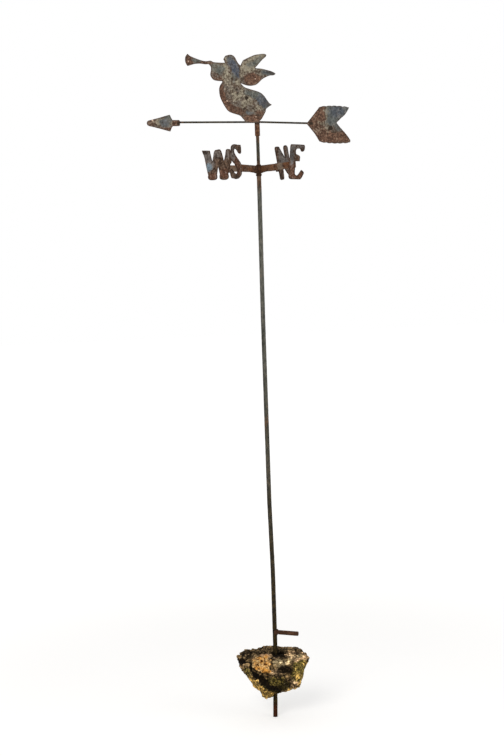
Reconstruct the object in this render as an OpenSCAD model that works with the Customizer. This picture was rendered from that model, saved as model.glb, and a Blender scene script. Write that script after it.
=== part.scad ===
// Angel weathervane: a turning arrow with a cut plate angel, over a compass cross on a bent post.
// The origin is the centre of the post's foot end, +Z is up and the turning axis is vertical.

/* [Post] */
// Diameter of the round bar
post_d = 14; // [12:0.5:16]
// Height of the post's top end
post_h = 1737; // [1500:10:1900]
// Distance of the turning axis from the foot's end, sideways
foot_out = 6.66; // [4:0.01:9]
// Heights of the bar's four slight bends
bend_up = [238.5, 480, 700, 1280]; // [226:0.5:1600]
// Distance of each bend from the turning axis, sideways
bend_out = [0.8, 1.3, -2.5, -2.6]; // [-5:0.1:5]
// Length of the sound bar at the foot, up to the waist that rust has eaten under the mortar
foot_free = 62; // [56:1:64]
// Depth of that waist, and of the undercut beside the peg's bead
rust_loss = 0.4; // [0.2:0.1:0.8]
// Diameter of the rounded collar under the hub
collar_d = 18.5; // [17:0.5:22]
// Height of the collar
collar_h = 7; // [5:0.5:9]

/* [Spindle and pivot] */
// Diameter of the spindle
spindle_d = 10.5; // [9:0.5:11]
// Length of the spindle that is set into the post
spindle_seat = 35; // [20:1:60]
// Diameter of the sleeve that turns on the spindle
sleeve_d = 16; // [15:0.5:20]
// Gap all round between the spindle and the sleeve's bore
sleeve_gap = 0.4; // [0.3:0.1:1]
// Length of the turning sleeve
sleeve_len = 40; // [30:1:70]
// Thickness of the disc that closes the sleeve's top
plug_t = 5; // [3:0.5:8]
// Gap under that disc when the spindle just carries it
thrust_gap = 0.3; // [0.2:0.1:0.5]

/* [Compass cross] */
// Diameter of the hub
hub_d = 16; // [15:0.5:22]
// Length of the hub
hub_len = 28.5; // [27:0.5:45]
// Gap all round between the hub and the spindle
hub_gap = 0.2; // [0.1:0.1:0.4]
// Height of the arms' middle line above the post's top end
arm_up = 15; // [13:0.5:17]
// Height of the flat bar that the arms are made of
arm_h = 20; // [14:1:22]
// Thickness of that flat bar
arm_t = 4; // [3:0.5:6]
// Length from the axis to the end of each arm
arm_len = 132; // [126:1:145]
// Thickness of the letters' sheet
letter_t = 3; // [2:0.5:4]
// Length of the weld fillet under each arm
gusset_len = 24; // [12:1:32]
// Height of the weld fillet under each arm
gusset_h = 4.5; // [3:0.5:6]

/* [North] */
// Width of the letter N
north_w = 100; // [80:1:110]
// Height of the letter N
north_h = 108; // [80:1:115]
// Distance from the axis to the letter N
north_in = 107; // [95:1:118]
// Height of the letter's middle above the arms' middle line at the hub
north_up = 29; // [18:1:34]
// Angle by which the letter's outer end is turned up
north_tilt = 7.5; // [-5:0.5:10]
// Angle by which the north arm rises
north_rise = 5.5; // [0:0.5:6]

/* [East] */
// Width of the letter E
east_w = 53; // [40:1:65]
// Height of the letter E
east_h = 106.5; // [80:0.5:115]
// Distance from the axis to the letter E
east_in = 112; // [100:1:118]
// Height of the letter's middle above the arms' middle line at the hub
east_up = 11; // [5:1:20]
// Angle by which the letter's outer end is turned up
east_tilt = -7; // [-10:0.5:5]
// Angle by which the east arm rises
east_rise = 2; // [0:0.5:4]

/* [South] */
// Width of the letter S
south_w = 68; // [50:1:75]
// Height of the letter S
south_h = 105; // [80:1:115]
// Distance from the axis to the letter S
south_in = 110; // [100:1:118]
// Height of the letter's middle above the arms' middle line at the hub
south_up = 14; // [8:1:22]
// Angle by which the letter's outer end is turned up
south_tilt = 0; // [-5:0.5:5]
// Angle by which the south arm rises
south_rise = -1; // [-2:0.5:3]

/* [West] */
// Width of the letter W
west_w = 107; // [80:1:115]
// Height of the letter W
west_h = 96.5; // [80:1:110]
// Distance from the axis to the letter W
west_in = 100; // [95:1:115]
// Height of the letter's middle above the arms' middle line at the hub
west_up = 24; // [15:1:30]
// Angle by which the letter's outer end is turned up
west_tilt = 2.5; // [-5:0.5:8]
// Angle by which the west arm rises
west_rise = 5; // [0:0.5:6]

/* [Arrow] */
// Height of the arrow's rod above the post's top end
vane_up = 160.4; // [140:0.2:200]
// Diameter of the rod
rod_d = 6; // [5:0.5:8]
// Angle by which the tail side of the rod hangs down
rod_droop = 1.6; // [0.5:0.1:3]
// Thickness of the sheet of the head, tail and angel
plate_t = 3; // [2:0.5:4]
// Length of the rod that lies behind each end plate
rod_lap = 20; // [12:1:24]
// Distance from the axis to the arrow's nose
head_reach = 349.5; // [320:1:380]
// Length of the arrow's head with its tang
head_len = 102; // [80:1:115]
// Height of the arrow's head over its barbs
head_h = 50; // [40:1:60]
// Distance from the axis to the tail plate's front point
tail_reach = 163; // [150:1:190]
// Length of the tail plate
tail_len = 144; // [120:1:170]
// Height of the tail plate
tail_h = 118; // [90:1:125]

/* [Angel] */
// Width of the angel, from the trumpet's mouth to the lower wing's tip
angel_w = 285.5; // [240:1:310]
// Height of the angel, from the foot of the plate to the upper wing's tip
angel_h = 211.5; // [170:1:240]
// Distance from the axis to the trumpet's mouth
angel_reach = 222.5; // [200:1:240]
// Height by which the plate overlaps the rod below its middle line
angel_lap = 2.5; // [1:0.5:3]

/* [Anchor peg] */
// Diameter of the peg
peg_d = 14; // [10:0.5:14]
// Distance from the post's middle line to the peg's end
peg_reach = 77.5; // [50:0.5:100]
// Height of the peg above the foot end
peg_up = 276.5; // [250:0.5:320]
// Direction of the peg round the post
peg_turn = -31; // [-180:1:180]
// Angle by which the peg's end hangs down
peg_dip = 2; // [0:0.5:5]
// Thickness of the weld bead round the peg's root
peg_bead = 5; // [3:0.5:6]

/* [Masonry lump] */
// Width of the lump from tip to tip
lump_w = 236; // [200:2:260]
// Depth of the lump from front to back
lump_d = 150; // [130:2:180]
// Height of the lump
lump_h = 150; // [130:2:155]
// Height of its underside above the foot end
lump_up = 66; // [60:1:74]
// Direction of the lump's front round the post
lump_turn = -15; // [-180:1:180]
// Gap all round between the post and the lump
mortar_gap = 0.1; // [0.1:0.1:0.3]
// Width of the brick fragment
brick_w = 68; // [50:1:76]
// Height of the brick fragment's face
brick_h = 72; // [50:1:76]
// Thickness of the brick fragment
brick_t = 30; // [24:1:36]
// Angle by which that face looks up
brick_lean = 46; // [30:1:60]

/* [Hidden] */
$fn = 48;
steps = 4;              // pieces of each curved stretch between two drawn points
seat = 0.1;             // gap between parts that only their weld bead joins
bend_swell = 0.08;      // height by which a bend stands proud of its bar
bead_d = 3.5;           // thickness of the weld beads on the sheet parts
axis_x = foot_out;
post_top = post_h;
straight_top = 50;      // length of the post's upper end that stands straight under the spindle
// Middle line of the bent post, as [height, sideways] pairs
post_path = concat([[0, 0]], [for (i = [0 : len(bend_up) - 1]) [bend_up[i], axis_x + bend_out[i]]],
    [[post_top - straight_top, axis_x], [post_top, axis_x]]);
foot_bend = atan2(post_path[1][1], post_path[1][0]);
rod_z = post_top + vane_up;
sleeve_top = rod_z - rod_d / 2 - seat;
sleeve_bore = spindle_d + 2 * sleeve_gap;
tip_z = sleeve_top - plug_t - thrust_gap;
arm_z = post_top + arm_up;
plate_y = rod_d / 2 + seat;
droop_x = sleeve_d / 2;
gusset_t = arm_t + 2;
chamfer = 1;
waist_len = 6;
undercut_len = 4;

// Curves through drawn points, given as [x, z] pairs
function catmull(a, b, c, d, t) =
    0.5 * (2 * b + (c - a) * t + (2 * a - 5 * b + 4 * c - d) * t * t + (3 * b - a - 3 * c + d) * t * t * t);
function curve(p, n = steps) =
    [for (i = [0 : len(p) - 2], k = [0 : n - 1])
        catmull(p[max(i - 1, 0)], p[i], p[i + 1], p[min(i + 2, len(p) - 1)], k / n)];
function arc(c, r, a0, a1, n) =
    [for (i = [0 : n]) let (a = a0 + (a1 - a0) * i / n) c + r * [cos(a), sin(a)]];
function column(p, k) = [for (q = p) q[k]];
// An outline moved to start at zero and brought to a width and a height
function sized(p, w, h) =
    let (x0 = min(column(p, 0)), z0 = min(column(p, 1)),
         fx = w / (max(column(p, 0)) - x0), fz = h / (max(column(p, 1)) - z0))
    [for (q = p) [(q[0] - x0) * fx, (q[1] - z0) * fz]];

// Angel, drawn from the turning axis and the rod's middle line
function angel_outline() = concat(
    curve([[-215, 207], [-220.5, 200], [-222.6, 190], [-221, 180], [-216, 171.5]]),
    curve([[-216, 171.5], [-203, 175.2], [-192, 178], [-174, 178.6], [-160, 176.8], [-149, 177.5]]),
    curve([[-149, 177.5], [-143, 170], [-142, 160], [-144.7, 145], [-141, 135.5], [-131.7, 128], [-107.5, 125.4]]),
    curve([[-107.5, 125.4], [-109, 120], [-115.5, 111], [-118.6, 96], [-114.5, 72], [-98, 41], [-85, 30],
        [-56, 20.3], [-46.4, 10.7], [-39.5, 3]]),
    [[-39.5, -2.5], [5.5, -2.5]],
    curve([[5.5, 2], [13.5, 9.6], [20.3, 20.4], [26.5, 31.2], [28.5, 39.5], [37.1, 46.8], [48.3, 53.2]]),
    curve([[48.3, 53.2], [42, 55.5], [33.3, 66], [22.5, 81.2], [7, 91.9], [-28.6, 102.6], [-42, 109.1],
        [-52.5, 121]]),
    curve([[-52.5, 121], [-36, 114.3], [-23.5, 111.9], [-10.9, 112.5], [2.5, 116.9], [18.4, 131.1], [31, 138.2],
        [43.5, 143.3], [57, 144.6], [63, 148]]),
    curve([[63, 148], [59, 151.5], [48.1, 156.1], [20, 162.9], [2, 164.6], [-1.5, 167.5]]),
    curve([[-1.5, 167.5], [7.8, 177.1], [22.9, 192.9], [33, 201], [35.3, 206.5]]),
    curve([[35.3, 206.5], [27, 209], [9, 207], [-4.4, 204.3], [-32.8, 191.9], [-41, 186.3], [-48, 172]]),
    curve([[-48, 172], [-51.5, 174.5], [-57.8, 181.9], [-66.1, 197.7], [-73.3, 203.8], [-82, 205.4], [-95, 202]]),
    curve([[-95, 202], [-98.6, 197.5], [-99.6, 194.5], [-101.8, 191.8], [-99.8, 189.8], [-98.8, 186],
        [-96, 181.6]]),
    curve([[-96, 181.6], [-104, 180.6], [-120, 181.2], [-134, 182.4], [-143.5, 186.7], [-152, 185.4],
        [-167, 186], [-189, 192.8], [-207, 200.2], [-215, 207]]));
// Arrow head, drawn from the axis, with a round nose, barbs and a tang
function head_outline() = concat(
    arc([-341, 0], 8.3, 115, 245, 10),
    curve([[-343.2, -8], [-310, -16.3], [-281, -24.6], [-277.6, -24.2], [-274, -15.5], [-270, -9]]),
    [[-270, -8.8], [-250, -8.6], [-247.4, -6.5], [-247.4, 6.5], [-250, 8.6], [-270, 8.8]],
    curve([[-270, 9], [-274, 15.5], [-277.6, 24.2], [-281, 24.6], [-310, 16.3], [-343.2, 8]]));
// Tail plate, drawn from the axis, with rounded lobes along both edges
function lobes(x0, x1, z0, z1, bulge, count) =
    [for (i = [0 : count * 6]) let (t = i / (count * 6))
        [x0 + (x1 - x0) * t, z0 + (z1 - z0) * t + bulge * (sin(180 * t) + 0.6 * abs(sin(180 * count * t)))]];
function tail_outline() = concat(
    curve([[163, -1.6], [181, 20.5], [199.4, 43.4], [203, 48.5], [207, 51]]),
    lobes(209, 299, 51.2, 52, 3, 5),
    curve([[302, 52.6], [299, 46], [289.5, 31], [273.1, 16.1], [260.3, 3.3]]),
    curve([[260.3, 3.3], [271.6, -10.3], [290.6, -30.3], [301, -43], [306.6, -52], [304, -57.5]]),
    lobes(301, 209, -57, -56.6, -3, 5),
    curve([[205.2, -56.4], [202, -51.5], [191.4, -35], [178.7, -19.6], [163, -1.6]]));
// Letters, each drawn upright from its own lower left corner
function n_outline() = let (rake = tan(9.3)) [for (q = concat(
    curve([[0, 98], [3, 102.5], [10, 104.5], [20, 104.3], [28, 102.5], [30, 99]]),
    [[57, 65], [57, 97]],
    curve([[57, 97], [61, 103], [71, 105.5], [81, 103], [85, 97]]),
    curve([[85, 5], [82, 0.5], [75, 2], [60, 14], [45, 29], [34, 42]]),
    curve([[34, 42], [30, 22], [27, 5], [22, 0.5], [8, 0], [1, 4]]))) [q[0] + (105 - q[1]) * rake, q[1]]];
function e_outline() = concat(
    curve([[9, 0.6], [3.5, 3], [0.6, 9]]),
    curve([[0, 96], [1.5, 101], [6, 102.4], [44.6, 102.4], [49, 100], [50.2, 96], [49.8, 88.5], [47, 84],
        [43, 82.4], [38.5, 83.5], [36.5, 87.5], [33.2, 90.7], [24, 90.2], [19.9, 84], [21.5, 74.5]]),
    curve([[21.5, 74.5], [31.3, 71.3], [35, 69], [36.2, 65]]),
    [[35.7, 54.3], [20.8, 53.8]],
    curve([[21.2, 24], [22.5, 16], [27, 12.6], [31.5, 13.2], [35.6, 17.8], [43.9, 29.3]]),
    curve([[43.9, 29.3], [50, 25.5], [53, 20.7], [49.5, 12], [45.5, 5], [40.5, 0.9]]));
function s_outline() = concat(
    curve([[65, 105], [67.5, 94], [67, 83], [63, 78.5], [57, 78.5], [51, 81], [44, 87.5], [37, 90.5], [31, 90.5],
        [27, 86], [28.5, 78], [38.5, 68.5], [57, 55], [65, 46], [68, 36], [68, 24], [64.5, 14], [56, 7], [46, 2],
        [34, 0], [20, 1], [10, 1.5]]),
    curve([[10, 1.5], [6, 6], [3, 13], [2, 20], [4, 26], [9, 28.5], [15, 27], [21, 22], [28, 17], [35, 15.5],
        [41, 18.5], [43, 25], [39, 34], [26, 48], [18, 56], [13, 66], [11, 78], [10, 89], [13, 97], [20, 102],
        [31, 104.5], [45, 104], [54, 104.3]]));
function w_outline() = concat(
    curve([[0, 97.5], [1.5, 92], [9, 76], [15, 52], [20.5, 30], [24.5, 17]]),
    curve([[24.5, 17], [23.5, 11], [25, 5], [31, 1], [41, 0], [51, 1], [57, 4], [59, 9], [57.8, 18]]),
    curve([[57.8, 18], [59.5, 30], [62.5, 46]]),
    curve([[62.5, 46], [66, 32], [69.5, 18]]),
    curve([[69.5, 18], [68, 11], [70, 4], [77, 0.8], [87, 0], [97, 1.5], [102, 6], [103, 12], [101, 19]]),
    curve([[101, 19], [104.5, 32], [107.5, 44], [109.5, 58], [110, 76], [108.4, 96]]),
    curve([[107.5, 98], [93.5, 97.5], [90, 80], [84.6, 59]]),
    curve([[84.6, 59], [79, 78], [70.5, 97.5], [55, 97.5], [49, 95], [46, 88], [43.5, 74], [40, 58]]),
    curve([[40, 58], [36, 72], [32, 86], [29.5, 98]]));

// A flat plate cut to an outline, standing in the XZ plane and reaching from y to y + t
module sheet(outline, y, t) {
    translate([0, y + t, 0]) rotate([90, 0, 0]) linear_extrude(t) polygon(outline);
}
// Places in the object's own parts
module on_foot() {
    rotate([0, foot_bend, 0]) children();
}
module on_axis(z) {
    translate([axis_x, 0, z]) children();
}
module on_tail_side() {
    on_axis(rod_z) translate([droop_x, 0, 0]) rotate([0, rod_droop, 0]) translate([-droop_x, 0, 0]) children();
}
module along_x(x0, x1, d) {
    translate([x0, 0, 0]) rotate([0, 90, 0]) cylinder(h = x1 - x0, d = d);
}
// A round bar bent at the origin, from below it along Z to above it, turned by an angle about Y.
// The bend is a ball that stands a hair proud of the bar.
module bent_bar(before, after, d, turn) {
    translate([0, 0, -before]) cylinder(h = before, d = d);
    sphere(d = d + 2 * bend_swell);
    rotate([0, turn, 0]) cylinder(h = after, d = d);
}
// A round bar along [height, sideways] pairs, with such a ball at each bend
module bar_along(path, d) {
    for (i = [1 : len(path) - 1]) let (leg = path[i] - path[i - 1]) translate([path[i - 1][1], 0, path[i - 1][0]]) {
        rotate([0, atan2(leg[1], leg[0]), 0]) cylinder(h = norm(leg), d = d);
        if (i > 1) sphere(d = d + 2 * bend_swell);
    }
}
// A shallow rounded groove round a bar along Z, which reaches from the origin up by its length
module rust_groove(len, d) {
    groove_r = (pow(len / 2, 2) + pow(rust_loss, 2)) / (2 * rust_loss);
    translate([0, 0, len / 2]) rotate_extrude() translate([d / 2 - rust_loss + groove_r, 0]) circle(r = groove_r);
}

module post() {
    color("dimgray") difference() {
        bar_along(post_path, post_d);
        on_axis(post_top - spindle_seat) cylinder(h = spindle_seat + 1, d = spindle_d);
        on_foot() translate([0, 0, foot_free]) rust_groove(waist_len, post_d);
    }
}
module spindle() {
    color("dimgray") on_axis(post_top - spindle_seat) {
        cylinder(h = tip_z - spindle_d / 2 - post_top + spindle_seat, d = spindle_d);
        translate([0, 0, tip_z - spindle_d / 2 - post_top + spindle_seat]) sphere(d = spindle_d);
    }
}
module collar_ring() {
    color("saddlebrown") on_axis(post_top - collar_h / 2 - seat) rotate_extrude() intersection() {
        translate([post_d / 2, -collar_h / 2]) square([(collar_d - post_d) / 2, collar_h]);
        translate([collar_d / 2 - collar_h / 2, 0]) circle(d = collar_h * 1.1);
    }
}
// The space that the post takes beside the peg, a hair wider than the bar
module post_beside_peg() {
    translate([lookup(peg_up, post_path), 0, peg_up - 2 * peg_d]) cylinder(h = 4 * peg_d, d = post_d + 4 * seat);
}
// The peg's own axis, with X outwards from the post's middle line
module on_peg() {
    translate([lookup(peg_up, post_path), 0, peg_up]) rotate([0, 0, peg_turn]) rotate([0, peg_dip, 0]) children();
}
module anchor_peg() {
    color("saddlebrown") difference() {
        on_peg() along_x(0, peg_reach, peg_d);
        on_peg() translate([(post_d + peg_bead) / 2 + seat, 0, 0]) rotate([0, 90, 0]) rust_groove(undercut_len, peg_d);
        post_beside_peg();
    }
}
module peg_weld() {
    color("sienna") difference() {
        on_peg() along_x(0, post_d / 2 + peg_bead / 2, peg_d + peg_bead);
        on_peg() along_x(-1, peg_reach, peg_d);
        post_beside_peg();
    }
}

// Rings of the lump from its underside up: height, reach to the right, left, back and front, drop of the front
lump_rings = [[0, 0.12, 0.36, 0.22, 0.12, 0], [0.11, 0.3, 0.44, 0.42, 0.36, 0], [0.23, 0.67, 0.62, 0.62, 0.6, 0],
    [0.48, 0.77, 0.82, 0.8, 0.86, 0.02], [0.67, 0.83, 0.95, 0.94, 0.98, 0.06], [0.84, 0.935, 1.04, 1, 0.86, 0.12],
    [0.95, 0.77, 0.85, 0.85, 0.42, 0.03]];
lump_side = 24;
// Rough edge of the front and back, which fades out towards the two tips
function crag(a, s) = 1 + abs(sin(a)) * (0.07 * sin(3 * a + 260 * s) + 0.05 * sin(7 * a + 410 * s));
function ring_point(r, a) = let (c = crag(a, r[0]),
        x = cos(a) * (cos(a) > 0 ? r[1] : r[2]) * lump_w / 2, y = sin(a) * (sin(a) > 0 ? r[3] : r[4]) * lump_d / 2)
    [x * c, y * c, (r[0] + 0.03 * abs(sin(a)) * sin(4 * a + 30) - r[5] * max(0, -sin(a))
        + 0.09 * max(0, cos(a)) * max(0, 1 - 4 * r[0])
        + 0.26 * pow(max(0, cos(a - 54)), 3) * max(0, r[0] - 0.7)) * lump_h];
lump_points = concat([for (r = lump_rings, i = [0 : lump_side - 1]) ring_point(r, i * 360 / lump_side)],
    [[0, 0, 0.03 * lump_h], [0, 0, 0.97 * lump_h]]);
lump_last = (len(lump_rings) - 1) * lump_side;
lump_faces = concat(
    [for (k = [0 : len(lump_rings) - 2], i = [0 : lump_side - 1]) let (j = (i + 1) % lump_side, b = k * lump_side)
        each [[b + i, b + lump_side + j, b + j], [b + i, b + lump_side + i, b + lump_side + j]]],
    [for (i = [0 : lump_side - 1]) [len(lump_rings) * lump_side, i, (i + 1) % lump_side]],
    [for (i = [0 : lump_side - 1]) [len(lump_rings) * lump_side + 1, lump_last + (i + 1) % lump_side, lump_last + i]]);
// The lump's own place on the foot, turned so that its front looks the way it lay in the wall
module on_lump() {
    on_foot() translate([0, 0, lump_up]) rotate([0, 0, lump_turn]) children();
}
module foot_bore() {
    on_foot() translate([0, 0, -1]) cylinder(h = bend_up[0], d = post_d + 2 * mortar_gap);
}

// The brick's body with its worn corners, grown by g on every side
module brick_body(g) {
    on_lump() translate([-0.165 * lump_w, -0.21 * lump_d, 0.7 * lump_h]) rotate([-brick_lean, 0, -4]) intersection() {
        cube([brick_w + 2 * g, brick_t + 2 * g, brick_h + 2 * g], center = true);
        rotate([90, 0, 0]) cylinder(h = brick_t + 2 * g, d = 1.12 * brick_w + 2 * g, center = true);
    }
}
module masonry_lump() {
    color("darkkhaki") difference() {
        on_lump() polyhedron(lump_points, lump_faces);
        foot_bore();
        brick_body(mortar_gap);
    }
}
module brick_fragment() {
    color("peru") difference() {
        brick_body(0);
        foot_bore();
    }
}

module hub_sleeve() {
    bore_r = spindle_d / 2 + hub_gap;
    color("sienna") on_axis(post_top) rotate_extrude() polygon([[bore_r, 0], [hub_d / 2 - chamfer, 0],
        [hub_d / 2, chamfer], [hub_d / 2, hub_len - chamfer], [hub_d / 2 - chamfer, hub_len], [bore_r, hub_len]]);
}
// The direction and rise of one arm, with X outwards along the arm's middle line
module on_arm(turn, rise) {
    on_axis(arm_z) rotate([0, 0, turn]) rotate([0, -rise, 0]) children();
}
module hub_cut() {
    on_axis(post_top - hub_len) cylinder(h = 3 * hub_len, d = hub_d);
}
module arm(turn, rise) {
    color("sienna") difference() {
        on_arm(turn, rise) translate([0, -arm_t / 2, -arm_h / 2]) cube([arm_len, arm_t, arm_h]);
        hub_cut();
    }
}
module arm_north() { arm(45, north_rise); }
module arm_east() { arm(-45, east_rise); }
module arm_south() { arm(-135, south_rise); }
module arm_west() { arm(135, west_rise); }
// A hollow weld fillet under each arm's root
module arm_welds() {
    color("sienna") for (a = [[45, north_rise], [-45, east_rise], [-135, south_rise], [135, west_rise]]) difference() {
        on_arm(a[0], a[1]) translate([0, 0, -arm_h / 2 - seat]) sheet(concat([[0, 0], [0, -gusset_h]],
            curve([[hub_d / 2, -gusset_h], [hub_d / 2 + gusset_len * 0.3, -gusset_h * 0.5],
                [hub_d / 2 + gusset_len, 0]], 6), [[hub_d / 2 + gusset_len, 0]]), -gusset_t / 2, gusset_t);
        hub_cut();
        on_axis(post_top - hub_len) cylinder(h = hub_len, d = collar_d + 1);
    }
}
// A letter's plate on its arm: side is 1 where the letter reads outwards and -1 where it reads inwards
module letter(outline, w, h, start, up, tilt, turn, side) {
    color("dimgray") on_axis(arm_z) rotate([0, 0, turn]) translate([start + w / 2, 0, up]) rotate([0, -tilt, 0])
        mirror([side > 0 ? 0 : 1, 0, 0]) translate([-w / 2, 0, -h / 2])
            sheet(sized(outline, w, h), side > 0 ? -arm_t / 2 - letter_t : arm_t / 2, letter_t);
}
module letter_north() { letter(n_outline(), north_w, north_h, north_in, north_up, north_tilt, 45, 1); }
module letter_east() { letter(e_outline(), east_w, east_h, east_in, east_up, east_tilt, -45, 1); }
module letter_south() { letter(s_outline(), south_w, south_h, south_in, south_up, south_tilt, -135, -1); }
module letter_west() { letter(w_outline(), west_w, west_h, west_in, west_up, west_tilt, 135, -1); }
// Beads in the corners between each letter's back and the arm's upper and lower edges
module letter_welds() {
    color("sienna") for (a = [[45, north_rise, north_in, 1], [-45, east_rise, east_in, 1],
            [-135, south_rise, south_in, -1], [135, west_rise, west_in, -1]], up = [-1, 1])
        on_arm(a[0], a[1]) translate([0, -a[3] * (arm_t / 2 - bead_d / 2 - seat), up * (arm_h / 2 + bead_d / 2 + seat)])
            along_x(a[2] + 5, arm_len - 3, bead_d);
}

module rotor_sleeve() {
    color("sienna") on_axis(sleeve_top - sleeve_len) rotate_extrude() polygon([[sleeve_bore / 2, 0],
        [sleeve_d / 2 - chamfer, 0], [sleeve_d / 2, chamfer], [sleeve_d / 2, sleeve_len], [sleeve_bore / 2, sleeve_len]]);
}
module thrust_plug() {
    color("gray") on_axis(sleeve_top - plug_t) cylinder(h = plug_t, d = sleeve_bore);
}
// A bead in the corner behind the rod, on top of the sleeve
module sleeve_weld() {
    lift = sleeve_top + bead_d / 2 + seat / 2;
    out = sqrt(pow(rod_d / 2 + bead_d / 2 + seat / 2, 2) - pow(rod_z - lift, 2));
    color("sienna") on_axis(lift) translate([0, out, 0]) along_x(-sleeve_d * 0.32, sleeve_d * 0.32, bead_d);
}
module arrow_rod() {
    color("dimgray") on_axis(rod_z) translate([droop_x, 0, 0]) rotate([0, 90, 0])
        bent_bar(head_reach - head_len + rod_lap + droop_x, tail_reach + rod_lap - droop_x, rod_d, rod_droop);
}
module arrow_head() {
    color("slategray") on_axis(rod_z - 2.8) translate([-head_reach, 0, -head_h / 2])
        sheet(sized(head_outline(), head_len, head_h), -plate_y - plate_t, plate_t);
}
module arrow_tail() {
    color("sienna") on_tail_side() translate([tail_reach, 0, -tail_h / 2 - 2.7])
        sheet(sized(tail_outline(), tail_len, tail_h), -plate_y - plate_t, plate_t);
}
module angel_plate() {
    color("slategray") on_axis(rod_z) translate([-angel_reach, 0, -angel_lap])
        sheet(sized(angel_outline(), angel_w, angel_h), -plate_y - plate_t, plate_t);
}
// Where a bead lies in the corner between the rod and the back of a plate
bead_y = -plate_y + bead_d / 2 + seat / 2;
bead_z = sqrt(pow(rod_d / 2 + bead_d / 2 + seat / 2, 2) - pow(bead_y, 2));
module head_weld() {
    color("sienna") on_axis(rod_z) for (up = [-1, 1]) translate([0, bead_y, up * bead_z])
        along_x(-head_reach + head_len - rod_lap + 1, -head_reach + head_len - 1, bead_d);
}
module tail_weld() {
    color("sienna") on_tail_side() for (up = [-1, 1]) translate([0, bead_y, up * bead_z])
        along_x(tail_reach + 6, tail_reach + rod_lap, bead_d);
}
module angel_weld() {
    color("sienna") on_axis(rod_z) translate([0, bead_y, bead_z]) {
        along_x(-38, -22, bead_d);
        along_x(-10, 4, bead_d);
    }
}

post();
spindle();
collar_ring();
anchor_peg();
peg_weld();
masonry_lump();
brick_fragment();
hub_sleeve();
arm_north();
arm_east();
arm_south();
arm_west();
arm_welds();
letter_north();
letter_east();
letter_south();
letter_west();
letter_welds();
rotor_sleeve();
thrust_plug();
sleeve_weld();
arrow_rod();
arrow_head();
head_weld();
arrow_tail();
tail_weld();
angel_plate();
angel_weld();
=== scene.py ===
"""Angel weathervane: its looks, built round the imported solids.

The vane is a blacksmith's piece of round bar, pipe, flat bar and 3 mm sheet, welded, painted three times and
left on a roof for decades. Each sub-assembly below is a class that models its own pieces and dresses them.
Lengths are metres, and mm() turns a workshop size to metres. Z is up and the vane turns about the upright
line at x = AXIS_X. At rest the arrow's nose looks towards -X and the front of its plates towards -Y.
"""

from __future__ import annotations

import logging
import math
import sys
from collections.abc import Sequence
from dataclasses import dataclass, field
from enum import Enum

import bpy
import numpy as np
from mathutils import Matrix, Vector
from mathutils.kdtree import KDTree

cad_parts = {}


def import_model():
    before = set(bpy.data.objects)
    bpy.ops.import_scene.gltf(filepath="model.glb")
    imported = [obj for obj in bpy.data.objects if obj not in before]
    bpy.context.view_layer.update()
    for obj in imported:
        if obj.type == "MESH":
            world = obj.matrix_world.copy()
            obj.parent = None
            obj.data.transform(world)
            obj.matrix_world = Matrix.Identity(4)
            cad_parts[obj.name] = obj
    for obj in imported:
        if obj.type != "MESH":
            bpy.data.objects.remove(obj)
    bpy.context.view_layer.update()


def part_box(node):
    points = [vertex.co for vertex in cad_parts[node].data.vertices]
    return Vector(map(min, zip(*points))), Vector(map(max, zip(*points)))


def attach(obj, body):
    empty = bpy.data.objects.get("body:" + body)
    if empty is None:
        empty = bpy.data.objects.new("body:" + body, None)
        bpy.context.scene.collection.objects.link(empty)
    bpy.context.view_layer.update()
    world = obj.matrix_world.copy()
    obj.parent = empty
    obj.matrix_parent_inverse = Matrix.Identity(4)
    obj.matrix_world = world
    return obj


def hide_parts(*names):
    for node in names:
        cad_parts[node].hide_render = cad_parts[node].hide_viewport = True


log = logging.getLogger("angel_weathervane")

AXIS_X = 0.00666  # the upright line that the vane turns about
ROD_Z = 1.8974  # the middle line of the arrow rod


# ---------------------------------------------------------------- measures, colours and nodes


def mm(*sizes: float) -> float | tuple[float, ...]:
    """Turn millimetres to metres: one size gives a number, several give a tuple."""
    metres = tuple(size * 0.001 for size in sizes)
    return metres[0] if len(metres) == 1 else metres


def linear(hex_code: str) -> tuple[float, float, float, float]:
    """Turn an sRGB hex colour to the linear colour that a shader takes.

    Args:
        hex_code: six hex digits, with or without a leading hash.

    Returns:
        Linear red, green, blue and an alpha of 1.
    """
    digits = hex_code.lstrip("#")
    parts = [int(digits[i : i + 2], 16) / 255 for i in (0, 2, 4)]
    red, green, blue = (c / 12.92 if c <= 0.04045 else ((c + 0.055) / 1.055) ** 2.4 for c in parts)
    return red, green, blue, 1.0


def add_node(tree: bpy.types.NodeTree, kind: str, inputs: dict | None = None, **settings: object
             ) -> bpy.types.Node:
    """Add a node, set its properties and set or link its inputs.

    Args:
        tree: the node tree that gets the node.
        kind: the node's type, such as ShaderNodeMix.
        inputs: input name or number to a value, or to an output socket that is linked to it.
        settings: the node's own properties, such as blend_type.

    Returns:
        The new node.
    """
    node = tree.nodes.new(kind)
    for name, value in settings.items():
        setattr(node, name, value)
    for name, value in (inputs or {}).items():
        socket = node.inputs[name]
        if isinstance(value, bpy.types.NodeSocket):
            tree.links.new(value, socket)
        else:
            socket.default_value = value
    return node


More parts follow.
